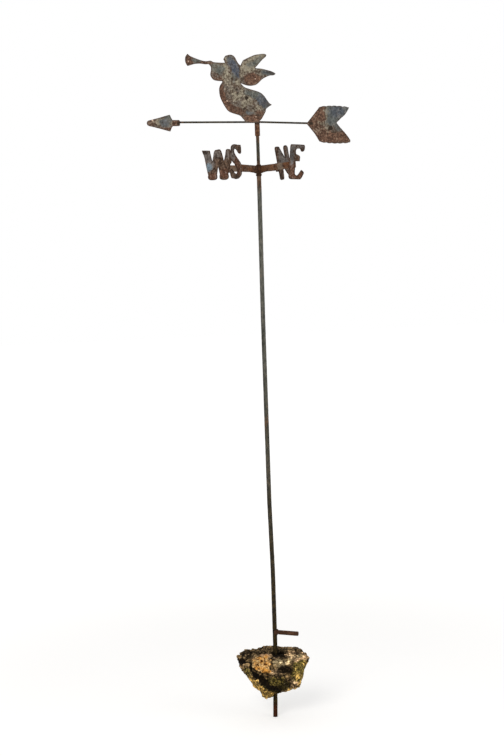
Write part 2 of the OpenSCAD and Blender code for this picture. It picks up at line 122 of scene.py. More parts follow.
class Shade:
    """A material under construction, with the few node groupings that all the finishes share."""

    def __init__(self, name: str) -> None:
        """Start an empty material that reads Object coordinates.

        Args:
            name: the finish's own name.
        """
        self.material = bpy.data.materials.new(name)
        self.material.use_nodes = True
        self.tree = self.material.node_tree
        self.tree.nodes.clear()
        self.place = add_node(self.tree, "ShaderNodeTexCoord").outputs["Object"]

    def pattern(self, size: float, detail: float = 5, rough: float = 0.6,
                stretch: Sequence[float] = (1, 1, 1), shift: float = 0.0) -> bpy.types.NodeSocket:
        """Cloudy noise whose largest clouds are about size metres across.

        Args:
            size: distance between clouds.
            detail: octaves of finer noise.
            rough: strength of the finer octaves.
            stretch: factors that squeeze the pattern along X, Y and Z.
            shift: offset that makes two patterns differ.

        Returns:
            The noise value, about 0.5 on average.
        """
        moved = {"Vector": self.place, "Location": (shift, shift * 0.7, -shift), "Scale": tuple(stretch)}
        place = add_node(self.tree, "ShaderNodeMapping", moved).outputs[0]
        cloudy = {"Vector": place, "Scale": 1 / size, "Detail": detail, "Roughness": rough}
        noise = add_node(self.tree, "ShaderNodeTexNoise", cloudy)
        return noise.outputs[0]

    def mask(self, name: str) -> bpy.types.NodeSocket:
        """The value that the mesh carries under a name, such as how much paint is left."""
        return add_node(self.tree, "ShaderNodeAttribute", attribute_name=name).outputs["Fac"]

    def math(self, operation: str, first: object, second: object, third: object = 0.0
             ) -> bpy.types.NodeSocket:
        """One sum on two or three values."""
        node = add_node(self.tree, "ShaderNodeMath", {0: first, 1: second, 2: third}, operation=operation)
        return node.outputs[0]

    def edge(self, value: object, low: float, high: float, out: Sequence[float] = (0, 1)
             ) -> bpy.types.NodeSocket:
        """A smooth step from out[0] below low to out[1] above high."""
        step = {"Value": value, "From Min": low, "From Max": high, "To Min": out[0], "To Max": out[1]}
        return add_node(self.tree, "ShaderNodeMapRange", step, interpolation_type="SMOOTHSTEP").outputs[0]

    def broken(self, amount: object, noises: Sequence[tuple[bpy.types.NodeSocket, float]], soft: float = 0.09
               ) -> bpy.types.NodeSocket:
        """The ragged area where amount plus its noises passes a half.

        Args:
            amount: how much of the coat is there, from 0 to 1.
            noises: each noise with its weight.
            soft: half the width of the step.

        Returns:
            1 where the coat is there and 0 where it is gone.
        """
        total = amount
        for noise, weight in noises:
            total = self.math("MULTIPLY_ADD", noise, weight, self.math("SUBTRACT", total, weight * 0.5))
        return self.edge(total, 0.5 - soft, 0.5 + soft)

    def mix(self, factor: object, first: object, second: object, blend: str = "MIX") -> bpy.types.NodeSocket:
        """Mix two colours, each an sRGB hex code or a socket."""
        inputs = {0: factor}
        for slot, colour in ((6, first), (7, second)):
            inputs[slot] = linear(colour) if isinstance(colour, str) else colour
        node = add_node(self.tree, "ShaderNodeMix", inputs, data_type="RGBA", blend_type=blend)
        return node.outputs[2]

    def toned(self, colour: bpy.types.NodeSocket, value: bpy.types.NodeSocket) -> bpy.types.NodeSocket:
        """The colour made darker or lighter by a factor."""
        return add_node(self.tree, "ShaderNodeHueSaturation", {"Color": colour, "Value": value}).outputs[0]

    def mottled(self, colour: bpy.types.NodeSocket, noise: bpy.types.NodeSocket, reach: Sequence[float],
                low: float = 0.34, high: float = 0.66) -> bpy.types.NodeSocket:
        """The colour, reach[0] times as light where a noise is low and reach[1] times where it is high."""
        return self.toned(colour, self.edge(noise, low, high, reach))

    def finish(self, colour: bpy.types.NodeSocket, roughness: object, height: bpy.types.NodeSocket,
               relief: float, gloss: float = 0.15) -> bpy.types.Material:
        """Close the material with a shader and its bump.

        Args:
            colour: base colour.
            roughness: a number or a value socket.
            height: relief pattern from 0 to 1.
            relief: depth in metres that a height of 1 stands for.
            gloss: specular level, low where pores and chalk swallow the shine.

        Returns:
            The finished material.
        """
        bump = add_node(self.tree, "ShaderNodeBump", {"Height": height, "Distance": relief})
        shader = add_node(self.tree, "ShaderNodeBsdfPrincipled",
                          {"Base Color": colour, "Roughness": roughness, "Normal": bump.outputs[0],
                           "Specular IOR Level": gloss})
        add_node(self.tree, "ShaderNodeOutputMaterial", {0: shader.outputs[0]})
        return self.material


# ---------------------------------------------------------------- finishes


@dataclass(frozen=True)
class PeelingPaint:
    """Oil paint on steel sheet: a blue-grey top coat over a cream undercoat, both flaking off brown rust.

    Brush-laid oil paint chalks to a dead matt and breaks in flakes of 2 to 20 mm. The cream shows as a
    fringe round the flakes, and the rust under it is soft and lightly blistered.
    """

    name: str = "peeling_oil_paint_on_steel"
    blue: str = "#474c55"
    green: str = "#5b5d55"
    cream: str = "#8c8370"
    grey: str = "#6c645b"
    rust: str = "#694e3e"
    dark_rust: str = "#4c372b"
    bare: str = "#574739"
    pit: str = "#2e241a"
    rim: str = "#3f2d23"
    speck: str = "#cbb09a"

    def material(self) -> bpy.types.Material:
        """Build the paint.

        Returns:
            The material, which reads the masks paint, hue, cream, rust, dark, speck and rim.
        """
        s = Shade(self.name)
        chip = s.pattern(mm(12), 5, 0.64, shift=3.1)  # flakes of paint
        spot = s.pattern(mm(6), 4, 0.62, shift=5.3)  # blisters
        fine = s.pattern(mm(3), 3, 0.6, shift=7.7)  # rust's grain, really 0.5 mm, coarser here to show
        loose = s.pattern(mm(6), 3, 0.5, shift=12.1)  # lifted flakes that catch the light
        brush = s.pattern(mm(8), 4, 0.6, (1, 1, 0.35), 1.7)  # strokes of the brush, upright
        bare = s.mix(s.edge(spot, 0.38, 0.62), self.bare, self.grey)
        red = s.mix(s.edge(spot, 0.36, 0.62), self.dark_rust, self.rust)
        base = s.mix(s.broken(s.mask("rust"), [(chip, 1.2), (spot, 0.8)], 0.3), bare, red)
        creamed = s.broken(s.mask("cream"), [(chip, 0.9), (spot, 1.9)], 0.3)
        base = s.mix(creamed, base, self.cream)
        top = s.mix(s.mask("hue"), self.green, self.blue)
        top = s.mix(s.edge(chip, 0.42, 0.7, (0, 0.5)), top, self.grey)
        top = s.mottled(top, brush, (0.74, 1.26), 0.36, 0.64)
        painted = s.broken(s.mask("paint"), [(chip, 1.0), (spot, 1.2)], 0.3)
        base = s.mix(painted, base, top)
        base = s.mottled(base, chip, (0.8, 1.18))
        base = s.mottled(base, spot, (0.72, 1.26))
        base = s.mottled(base, fine, (0.74, 1.24))
        base = s.mottled(base, loose, (1, 1.6), 0.58, 0.72)
        edge = s.broken(s.mask("rim"), [(chip, 0.6), (spot, 0.5)], 0.35)
        base = s.mix(s.math("MULTIPLY", edge, 0.82), base, self.rim)
        # dark patches, and on the trumpet's bell painted shade
        base = s.mix(s.broken(s.mask("dark"), [(chip, 0.9), (spot, 0.8)], 0.34), base, self.pit)
        # pale specks, and on the trumpet's bell a painted highlight
        base = s.mix(s.broken(s.mask("speck"), [(fine, 0.4)], 0.12), base, self.speck)
        rough = s.math("MULTIPLY_ADD", spot, 0.5, s.math("MULTIPLY", fine, 0.3))
        height = s.math("MULTIPLY_ADD", painted, 0.4, rough)
        return s.finish(base, s.edge(painted, 0, 1, (0.9, 0.74)), height, mm(0.6), 0.22)


@dataclass(frozen=True)
class LetterPaint:
    """The same sheet where the paint is nearly gone: brown rust with thin grey and light blue remains.

    The rust is a dead matt crust with blisters of about 6 mm, and it is darkest along the cut edges.
    """

    name: str = "rusted_letter_sheet"
    brown: str = "#6a5443"
    dark: str = "#3a2a20"
    grey: str = "#675d55"
    blue: str = "#76868f"
    rust: str = "#684634"
    dark_rust: str = "#452c1e"
    rim: str = "#3b291f"
    pit: str = "#2a1f17"

    def material(self) -> bpy.types.Material:
        """Build the rusted sheet, which reads the masks paint, hue, rust, dark and rim."""
        s = Shade(self.name)
        chip = s.pattern(mm(12), 5, 0.64, shift=4.9)  # scabs of rust
        spot = s.pattern(mm(6), 4, 0.62, shift=2.9)  # blisters
        fine = s.pattern(mm(3), 3, 0.6, shift=9.2)  # rust's grain, really 0.5 mm, coarser here to show
        loose = s.pattern(mm(6), 3, 0.5, shift=14.3)  # lifted scabs that catch the light
        base = s.mix(s.edge(chip, 0.36, 0.64), self.dark, self.brown)
        red = s.mix(s.edge(spot, 0.38, 0.62), self.dark_rust, self.rust)
        base = s.mix(s.broken(s.mask("rust"), [(chip, 1.2), (spot, 0.8)], 0.3), base, red)
        thin = s.mix(s.mask("hue"), self.grey, self.blue)
        painted = s.broken(s.mask("paint"), [(chip, 1.4), (spot, 1.2)], 0.28)
        base = s.mix(s.math("MULTIPLY", painted, 0.88), base, thin)
        base = s.mottled(base, chip, (0.8, 1.2))
        base = s.mottled(base, spot, (0.72, 1.28))
        base = s.mottled(base, fine, (0.76, 1.24))
        base = s.mottled(base, loose, (1, 1.5), 0.6, 0.74)
        edge = s.broken(s.mask("rim"), [(chip, 0.6), (spot, 0.5)], 0.35)
        base = s.mix(s.math("MULTIPLY", edge, 0.8), base, self.rim)
        dark = s.broken(s.mask("dark"), [(chip, 0.9), (spot, 0.7)], 0.3)
        base = s.mix(s.math("MULTIPLY", dark, 0.85), base, self.pit)
        height = s.math("MULTIPLY_ADD", spot, 0.6, s.math("MULTIPLY", fine, 0.4))
        return s.finish(base, 0.88, height, mm(0.6))


@dataclass(frozen=True)
class WeatheredBar:
    """Hot-rolled round bar: its dark mill scale has dulled to grey-olive, with brown rust coming through.

    Scale is a thin blue-black oxide from rolling. It weathers to a matt grey, and it breaks in streaks along
    the bar, 5 to 60 mm long.
    """

    name: str = "weathered_mill_scale"
    scale: str = "#45463f"
    light: str = "#62625a"
    rust: tuple[str, str] = ("#3d2a1a", "#614836")
    red: tuple[str, str] = ("#200c03", "#48210c")
    low: tuple[str, str] = ("#1c150a", "#3a2d14")
    dust: str = "#7d7360"

    def material(self) -> bpy.types.Material:
        """Build the bar's finish, which reads the masks rust, red and low."""
        s = Shade(self.name)
        long = s.pattern(mm(14), 5, 0.6, (1, 1, 0.14), 2.2)  # streaks of scale along the bar
        chip = s.pattern(mm(7), 5, 0.62, (1, 1, 0.5), 5.1)  # chips in it
        fine = s.pattern(mm(2.6), 4, 0.65, shift=8.8)  # pits, really 0.5 mm, coarser here to show
        base = s.mix(s.edge(long, 0.36, 0.64), self.scale, self.light)
        base = s.mix(s.mask("low"), base, s.mix(s.edge(chip, 0.4, 0.6), *self.low))
        rusty = s.broken(s.mask("rust"), [(long, 0.9), (chip, 0.8)], 0.16)
        base = s.mix(s.math("MULTIPLY", rusty, 0.88), base, s.mix(s.edge(chip, 0.38, 0.62), *self.rust))
        reddish = s.broken(s.mask("red"), [(chip, 0.6), (fine, 0.3)], 0.2)
        base = s.mix(reddish, base, s.mix(s.edge(fine, 0.4, 0.62), *self.red))
        base = s.mottled(base, chip, (0.7, 1.3), 0.36, 0.64)
        base = s.mix(s.edge(fine, 0.6, 0.76, (0, 0.2)), base, self.dust)
        height = s.math("MULTIPLY_ADD", chip, 0.7, s.math("MULTIPLY", fine, 0.4))
        return s.finish(base, s.edge(chip, 0.3, 0.7, (0.6, 0.85)), height, mm(0.3), 0.08)


@dataclass(frozen=True)
class BrownRust:
    """Settled outdoor rust on pipe and flat bar: a dead matt red-brown crust, darker and yellower in patches.

    Old hydrated rust has no gloss. It lies in scabs of about 9 mm, and its dust is the lightest thing on it.
    """

    name: str = "settled_brown_rust"
    brown: str = "#654733"
    deep: str = "#39241a"
    warm: str = "#7c5031"
    grey: str = "#6f6153"
    dust: str = "#94714f"
    pit: str = "#20120a"

    def material(self) -> bpy.types.Material:
        """Build the rust, which reads the masks dark and paint."""
        s = Shade(self.name)
        wide = s.pattern(mm(24), 4, 0.6, shift=6.1)  # yellower patches
        chip = s.pattern(mm(9), 5, 0.64, shift=2.7)  # scabs
        fine = s.pattern(mm(3.2), 4, 0.65, shift=5.9)  # grain, really 0.5 mm, coarser here to show
        base = s.mix(s.edge(chip, 0.36, 0.64), self.deep, self.brown)
        base = s.mix(s.edge(wide, 0.46, 0.64, (0, 0.6)), base, self.warm)
        flaking = s.broken(s.mask("paint"), [(chip, 1.1), (fine, 0.6)], 0.2)
        base = s.mix(s.math("MULTIPLY", flaking, 0.8), base, self.grey)
        base = s.mottled(base, fine, (0.68, 1.35), 0.36, 0.64)
        base = s.mix(s.edge(fine, 0.6, 0.76, (0, 0.35)), base, self.dust)
        dark = s.broken(s.mask("dark"), [(chip, 0.9), (fine, 0.5)], 0.35)
        base = s.mix(s.math("MULTIPLY", dark, 0.85), base, self.pit)
        height = s.math("MULTIPLY_ADD", chip, 0.7, s.math("MULTIPLY", fine, 0.5))
        return s.finish(base, 0.9, height, mm(0.4))


@dataclass(frozen=True)
class LimeMortar:
    """Old lime mortar with flint and brick grit: pale where broken, dirt and painted shade in its hollows,
    lichen outside.

    The grit is 2 to 8 mm, so its grains show as a mottle, their own tones with painted light and shade on
    top.
    Broken mortar has no gloss at all. Each coat has a darker tone for its hollows, which is painted shade,
    and a lighter one for its grains.
    """

    name: str = "broken_lime_mortar"
    sand: tuple[str, str] = ("#43331e", "#8d734d")
    pink: tuple[str, str] = ("#735a3c", "#b49570")
    soot: tuple[str, str] = ("#302516", "#6a573c")
    moss: tuple[str, str] = ("#2e2710", "#5c4f24")
    lichen: tuple[str, str] = ("#967440", "#c8a458")
    lime: tuple[str, str] = ("#957c54", "#d0b98d")
    # dirt, and painted shade in holes, cracks and hollows
    dirt: tuple[str, str] = ("#090502", "#22170a")
    # pale crumbs, partly pale grit and partly painted highlights on raised grains
    crumb_and_highlight: str = "#bfae8e"
    # painted shade for cracks, sunk places and hollows
    gap: str = "#110a03"

    def material(self) -> bpy.types.Material:
        """Build the mortar, which reads the masks lime, pink, dirt, moss, lichen, soot, grain and gap."""
        s = Shade(self.name)
        mid = s.pattern(mm(15), 6, 0.66, shift=1.9)  # lumps
        grit = s.pattern(mm(8), 5, 0.68, shift=4.4)  # grit
        fine = s.pattern(mm(3.4), 4, 0.66, shift=9.9)  # sand, really under 1 mm, coarser here to show
        base = s.mix(s.edge(grit, 0.36, 0.62), *self.sand)
        # the darker tone of each pair falls in the grit's hollows: painted shade
        for coat, tones in (("pink", self.pink), ("soot", self.soot), ("moss", self.moss),
                            ("lichen", self.lichen), ("lime", self.lime)):
            covered = s.broken(s.mask(coat), [(mid, 1.1), (grit, 0.9)], 0.2)
            base = s.mix(covered, base, s.mix(s.edge(grit, 0.38, 0.6), *tones))
        # the grain mask holds the stones' own tones and painted light and shade of their relief
        base = s.toned(base, s.edge(s.mask("grain"), 0.1, 0.85, (0.45, 1.7)))
        # the grit and sand mottles follow the bump pattern: their own tones, with painted shade in hollows
        # and painted light on tops
        base = s.mottled(base, grit, (0.56, 1.55), 0.36, 0.64)
        base = s.mottled(base, fine, (0.52, 1.6))
        # pale crumbs on raised sand, partly pale grit and partly painted highlights
        base = s.mix(s.edge(fine, 0.6, 0.7, (0, 0.6)), base, self.crumb_and_highlight)
        # dirt, and painted shade in holes, cracks and hollows
        dirty = s.broken(s.mask("dirt"), [(mid, 1.1), (grit, 1.3)], 0.22)
        base = s.mix(s.math("MULTIPLY", dirty, 0.985), base, s.mix(s.edge(grit, 0.42, 0.66), *self.dirt))
        # painted shade: darker in the cracks between grains, in sunk places and in hollows
        base = s.mix(s.edge(s.mask("gap"), 0.25, 0.8, (0, 0.88)), base, self.gap)
        height = s.math("MULTIPLY_ADD", grit, 0.8, s.math("MULTIPLY", fine, 0.35))
        return s.finish(base, 0.95, height, mm(2.0), 0.1)


@dataclass(frozen=True)
class BrokenBrick:
    """Soft orange stock brick, broken and weathered: sandy, dead matt, with darker burnt pits and pink rims.

    Low-fired clay crumbles in facets of 8 to 16 mm, and its pores swallow all gloss.
    """

    name: str = "broken_orange_brick"
    orange: str = "#ce8f40"
    light: str = "#e6bd80"
    burnt: str = "#5f3812"
    pink: tuple[str, str] = ("#6b4c30", "#a98666")
    # painted shade on the brick's sides that turn into the recess
    dirt: str = "#1d1308"

    def material(self) -> bpy.types.Material:
        """Build the brick, which reads the masks rim, pit and dirt."""
        s = Shade(self.name)
        mid = s.pattern(mm(16), 6, 0.66, shift=0.7)  # facets
        grit = s.pattern(mm(8), 5, 0.66, shift=3.3)  # grit and pits
        fine = s.pattern(mm(3.6), 4, 0.66, shift=6.1)  # sand, really under 1 mm, coarser here to show
        base = s.mix(s.edge(mid, 0.4, 0.64), self.orange, self.light)
        # pits, with painted shade on the left of the face
        base = s.mix(s.broken(s.mask("pit"), [(grit, 1.5), (fine, 0.9)], 0.16), base, self.burnt)
        rim = s.broken(s.mask("rim"), [(mid, 0.9), (grit, 0.9)], 0.25)
        base = s.mix(rim, base, s.mix(s.edge(grit, 0.4, 0.6), *self.pink))
        base = s.mottled(base, grit, (0.5, 1.35), 0.36, 0.64)
        base = s.mottled(base, fine, (0.62, 1.3), 0.36, 0.64)
        # painted shade on the sides that turn into the recess
        base = s.mix(s.broken(s.mask("dirt"), [(mid, 0.5), (grit, 0.5)], 0.22), base, self.dirt)
        height = s.math("MULTIPLY_ADD", grit, 0.8, s.math("MULTIPLY", fine, 0.3))
        return s.finish(base, 0.94, height, mm(1.8), 0.1)


# ---------------------------------------------------------------- mesh tools


def deselect() -> None:
    """Leave edit mode and deselect everything."""
    if bpy.context.object and bpy.context.object.mode != "OBJECT":
        bpy.ops.object.mode_set(mode="OBJECT")
    bpy.ops.object.select_all(action="DESELECT")


def activate(piece: bpy.types.Object) -> bpy.types.Object:
    """Select one piece alone and make it the active object."""
    deselect()
    piece.select_set(True)
    bpy.context.view_layer.objects.active = piece
    return piece


def apply_modifier(piece: bpy.types.Object, kind: str, **settings: object) -> None:
    """Add a modifier with its settings and apply it."""
    activate(piece)
    bpy.ops.object.modifier_add(type=kind)
    modifier = piece.modifiers[-1]
    for name, value in settings.items():
        setattr(modifier, name, value)
    bpy.ops.object.modifier_apply(modifier=modifier.name)


def points(piece: bpy.types.Object) -> np.ndarray:
    """The piece's vertices as rows of x, y and z."""
    co = np.empty(len(piece.data.vertices) * 3)
    piece.data.vertices.foreach_get("co", co)
    return co.reshape(-1, 3)


def move_points(piece: bpy.types.Object, co: np.ndarray) -> None:
    """Put the piece's vertices at new places."""
    piece.data.vertices.foreach_set("co", co.ravel())
    piece.data.update()


def normals(piece: bpy.types.Object) -> np.ndarray:
    """The piece's vertex normals as rows of x, y and z."""
    out = np.empty(len(piece.data.vertices) * 3)
    piece.data.vertex_normals.foreach_get("vector", out)
    return out.reshape(-1, 3)


def carry(piece: bpy.types.Object, **masks: np.ndarray | float) -> None:
    """Store masks from 0 to 1 on the vertices, each under the name that the materials read it by."""
    for name, values in masks.items():
        layer = piece.data.attributes.new(name, "FLOAT", "POINT")
        layer.data.foreach_set("value", (np.clip(values, 0, 1) * np.ones(len(layer.data))).astype(np.float32))


def grain(co: np.ndarray, size: float, octaves: int = 3, seed: float = 0.0) -> np.ndarray:
    """Smooth noise at each point.

    Args:
        co: points in metres.
        size: distance between the largest bumps.
        octaves: number of layers, each half the size and half the height of the last.
        seed: number that picks one pattern.

    Returns:
        A value from about -1 to 1 for each point.
    """
    total, weight, reach = np.zeros(len(co)), 1.0, 0.0
    for octave in range(octaves):
        p = co * (2**octave / size) + seed * 3.7 + octave * 11.3
        cell = np.floor(p)
        f = p - cell
        f = f * f * (3 - 2 * f)
        value = np.zeros(len(co))
        for corner in range(8):
            step = np.array([corner & 1, corner >> 1 & 1, corner >> 2 & 1], float)
            key = np.sin((cell + step) @ np.array([12.9898, 78.233, 37.719]) + seed) * 43758.5453
            share = np.prod(np.where(step > 0, f, 1 - f), axis=1)
            value += share * (key - np.floor(key))
        total += weight * (2 * value - 1)
        reach += weight
        weight *= 0.5
    return total / reach * 1.5


def bands(place: np.ndarray, rows: Sequence[tuple[float, float, float]]) -> np.ndarray:
    """Soft bands along a piece, from rows of middle, reach and amount."""
    total = np.zeros(len(place))
    for middle, reach, amount in rows:
        total += amount * np.exp(-(((place - middle) / reach) ** 2))
    return total


def below(height: np.ndarray, start: float, fade: float) -> np.ndarray:
    """1 up to a height, down to 0 where the fade above it ends."""
    return 1 - np.clip((height - start) / fade, 0, 1)


def copied(node: str, name: str) -> bpy.types.Object:
    """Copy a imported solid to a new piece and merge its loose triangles.

    Args:
        node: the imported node's name.
        name: the new piece's name.

    Returns:
        The copy, in the same place.
    """
    source = bpy.data.objects[node]
    piece = bpy.data.objects.new(name, source.data.copy())
    piece.data.materials.clear()
    for layer in list(piece.data.attributes):
        if not layer.is_internal and not layer.is_required:
            piece.data.attributes.remove(layer)
    bpy.context.scene.collection.objects.link(piece)
    activate(piece)
    bpy.ops.object.mode_set(mode="EDIT")
    bpy.ops.mesh.select_all(action="SELECT")
    bpy.ops.mesh.remove_doubles(threshold=mm(0.004))
    bpy.ops.object.mode_set(mode="OBJECT")
    return piece


def smooth(piece: bpy.types.Object) -> None:
    """Shade a piece smooth, but keep its sharp corners."""
    activate(piece)
    bpy.ops.object.shade_smooth_by_angle(angle=math.radians(50))


def dress(piece: bpy.types.Object, body: str, slot: str, finish: bpy.types.Material, *nodes: str
          ) -> bpy.types.Object:
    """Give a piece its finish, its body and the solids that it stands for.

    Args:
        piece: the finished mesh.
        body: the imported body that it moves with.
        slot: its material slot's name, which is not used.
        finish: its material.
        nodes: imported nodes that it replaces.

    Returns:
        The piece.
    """
    piece.data.materials.clear()
    piece.data.materials.append(finish)
    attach(piece, body)
    if nodes:
        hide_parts(*nodes)
    log.info("%s: %d faces on %s", piece.name, len(piece.data.polygons), body)
    return piece


def worn(node: str, name: str, voxel: float, wear: float, size: float = 0.006, seed: float = 0.0,
         more: Sequence[bpy.types.Object] = ()) -> bpy.types.Object:
    """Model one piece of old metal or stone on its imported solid.

    The solid is copied, gets a fine even mesh that rounds its cut edges, and then loses and gains a little
    all over, as rust does.

    Args:
        node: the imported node.
        name: the new piece's name.
        voxel: mesh size, which is also about the roundness of its edges.
        wear: height of the bumps.
        size: distance between the bumps.
        seed: number that picks one pattern.
        more: closed pieces that grow together with it.

    Returns:
        The piece, without a finish.
    """
    piece = copied(node, name)
    for part in more:
        activate(piece)
        part.select_set(True)
        bpy.ops.object.join()
    apply_modifier(piece, "REMESH", mode="VOXEL", voxel_size=voxel, use_smooth_shade=True)
    co, out = points(piece), normals(piece)
    bumps = 0.6 * grain(co, size, 3, seed) + 0.4 * grain(co, size * 0.3, 2, seed + 5)
    move_points(piece, co + out * (wear * bumps)[:, None])
    smooth(piece)
    return piece


def sheet_piece(outline: Sequence[tuple[float, float]], place: np.ndarray, along: np.ndarray,
                through: np.ndarray) -> bpy.types.Object:
    """Model a small flat piece of sheet that stands upright.

    Args:
        outline: its corners in millimetres, across and up from its place.
        place: the zero of the outline, on the sheet's back.
        along: unit direction across the sheet.
        through: direction and distance through the sheet.

    Returns:
        The closed piece.
    """
    deselect()
    bpy.ops.mesh.primitive_circle_add(vertices=len(outline), radius=mm(10), fill_type="NGON")
    piece = bpy.context.object
    move_points(piece, np.array([place + along * mm(x) + [0, 0, mm(z)] for x, z in outline]))
    bpy.ops.object.mode_set(mode="EDIT")
    bpy.ops.mesh.select_all(action="SELECT")
    bpy.ops.mesh.extrude_region_move(TRANSFORM_OT_translate={"value": tuple(through)})
    bpy.ops.mesh.select_all(action="SELECT")
    bpy.ops.mesh.normals_make_consistent(inside=False)
    bpy.ops.object.mode_set(mode="OBJECT")
    return piece


def round_bar(name: str, length: float, radius: float, around: int, cuts: Sequence[int], chamfer: float
              ) -> bpy.types.Object:
    """Model a round bar along Z from 0 to its length, with rings of points to bend and wear it by.

    Args:
        name: the piece's name.
        length: its length.
        radius: its radius.
        around: faces round it.
        cuts: how often its long edges are cut, once per pass.
        chamfer: size of the worn edge at both ends.

    Returns:
        The bar, not yet bent or dressed.
    """
    deselect()
    bpy.ops.mesh.primitive_cylinder_add(vertices=around, radius=radius, depth=length, end_fill_type="NGON",
                                        location=(0, 0, length / 2))
    piece = bpy.context.object
    piece.name = piece.data.name = name
    bpy.ops.object.transform_apply(location=True, rotation=False, scale=False)
    bpy.ops.object.mode_set(mode="EDIT")
    bpy.ops.mesh.select_all(action="DESELECT")
    bpy.ops.object.mode_set(mode="OBJECT")
    for face in piece.data.polygons:
        face.select = abs(face.normal.z) > 0.9
    bpy.ops.object.mode_set(mode="EDIT")
    bpy.ops.mesh.select_mode(type="FACE")
    # both ends stand out by the chamfer, then the whole bar is brought back to its length
    middle, longer = length / 2, 1 + 2 * chamfer / length
    bpy.ops.mesh.inset(thickness=chamfer, depth=0)
    bpy.ops.transform.resize(value=(1, 1, longer), center_override=(0, 0, middle))
    bpy.ops.mesh.inset(thickness=radius * 0.4, depth=0)
    bpy.ops.object.mode_set(mode="OBJECT")
    co = points(piece)
    co[:, 2] = (co[:, 2] - middle) / longer + middle
    move_points(piece, co)
    # only the edges that run along the bar are cut, so that each cut is a ring round it
    for passes in cuts:
        bpy.ops.object.mode_set(mode="EDIT")
        bpy.ops.mesh.select_mode(type="EDGE")
        bpy.ops.mesh.select_all(action="DESELECT")
        bpy.ops.object.mode_set(mode="OBJECT")
        for edge in piece.data.edges:
            first, second = (piece.data.vertices[i].co for i in edge.vertices)
            along = abs(first.z - second.z)
            edge.select = along > length * 0.002 and (first.xy - second.xy).length < along * 0.1
        bpy.ops.object.mode_set(mode="EDIT")
        bpy.ops.mesh.subdivide(number_cuts=passes)
    bpy.ops.object.mode_set(mode="OBJECT")
    log.info("%s: %d faces", name, len(piece.data.polygons))
    return piece


def corrode(piece: bpy.types.Object, radius: float, wear: float, seed: float) -> None:
    """Roughen a straight bar along Z: lumps of scale, shallow pits and a slight change of thickness."""
    co = points(piece)
    out = co * [1, 1, 0]
    out /= np.maximum(np.linalg.norm(out, axis=1), 1e-6)[:, None]
    bumps = 0.5 * grain(co, mm(14), 2, seed) + 0.5 * grain(co, mm(4), 3, seed + 2)
    inside = np.clip(np.linalg.norm(co[:, :2], axis=1) / radius, 0, 1) ** 4
    move_points(piece, co + out * (wear * bumps * inside)[:, None])


def lay(piece: bpy.types.Object, path: Sequence[tuple[float, float]], ease: float = 0.012) -> None:
    """Bend a straight bar along Z to follow a line in the XZ plane, with a soft curve at each bend.

    Args:
        piece: the straight bar, whose foot is at zero.
        path: x and z of each bend, from the foot on.
        ease: half the length of each curve.
    """
    line = np.array(path)
    first, last = line[1] - line[0], line[-1] - line[-2]
    line[0] -= first / np.linalg.norm(first) * ease * 3
    line[-1] += last / np.linalg.norm(last) * ease * 3
    reach = np.concatenate([[0], np.cumsum(np.linalg.norm(np.diff(line, axis=0), axis=1))]) - ease * 3
    co = points(piece)
    before, here, after = (np.stack([np.interp(co[:, 2] + step, reach, line[:, axis]) for axis in (0, 1)], 1)
                           for step in (-ease, 0, ease))
    middle = (before + 2 * here + after) / 4
    run = after - before
    run /= np.linalg.norm(run, axis=1)[:, None]
    x, z = middle[:, 0] + co[:, 0] * run[:, 1], middle[:, 1] - co[:, 0] * run[:, 0]
    move_points(piece, np.stack([x, co[:, 1], z], 1))
    smooth(piece)


def path_length(path: Sequence[tuple[float, float]]) -> float:
    """The length of a line through points."""
    return float(np.linalg.norm(np.diff(np.array(path), axis=0), axis=1).sum())


# ---------------------------------------------------------------- patches of paint, rust and dirt


class Coat(Enum):
    """What a patch on a surface shows."""

    PAINT = "paint"
    HUE = "hue"
    CREAM = "cream"
    RUST = "rust"
    DARK = "dark"
    SPECK = "speck"
    LIME = "lime"
    PINK = "pink"
    # dark patches: dirt in places, and painted shade in holes, cracks and hollows
    DIRT = "dirt"
    MOSS = "moss"
    LICHEN = "lichen"
    SOOT = "soot"


@dataclass(frozen=True)
class Patch:
    """A soft-edged oval patch on a plate, in millimetres from the plate's own zero.

    x and z are its middle, rx and rz half its width and height, turn its slope in degrees and amount how
    much of the coat it adds at its middle, less than nothing where it takes some away.
    """

    coat: Coat
    x: float
    z: float
    rx: float
    rz: float
    turn: float = 0.0
    amount: float = 1.0

    def cover(self, x: np.ndarray, z: np.ndarray) -> np.ndarray:
        """How much of the coat the patch adds at each place."""
        c, s = math.cos(math.radians(self.turn)), math.sin(math.radians(self.turn))
        u = ((x - self.x) * c + (z - self.z) * s) / self.rx
        v = (-(x - self.x) * s + (z - self.z) * c) / self.rz
        reach = np.clip(1.35 - np.sqrt(u * u + v * v), 0, 1) / 0.7
        return self.amount * np.clip(reach, 0, 1)


def spots(**rows: Sequence[Sequence[float]]) -> tuple[Patch, ...]:
    """Patches grouped by coat, from rows of middle x and z, half width and height, slope and amount."""
    return tuple(Patch(Coat(coat), *row) for coat, group in rows.items() for row in group)


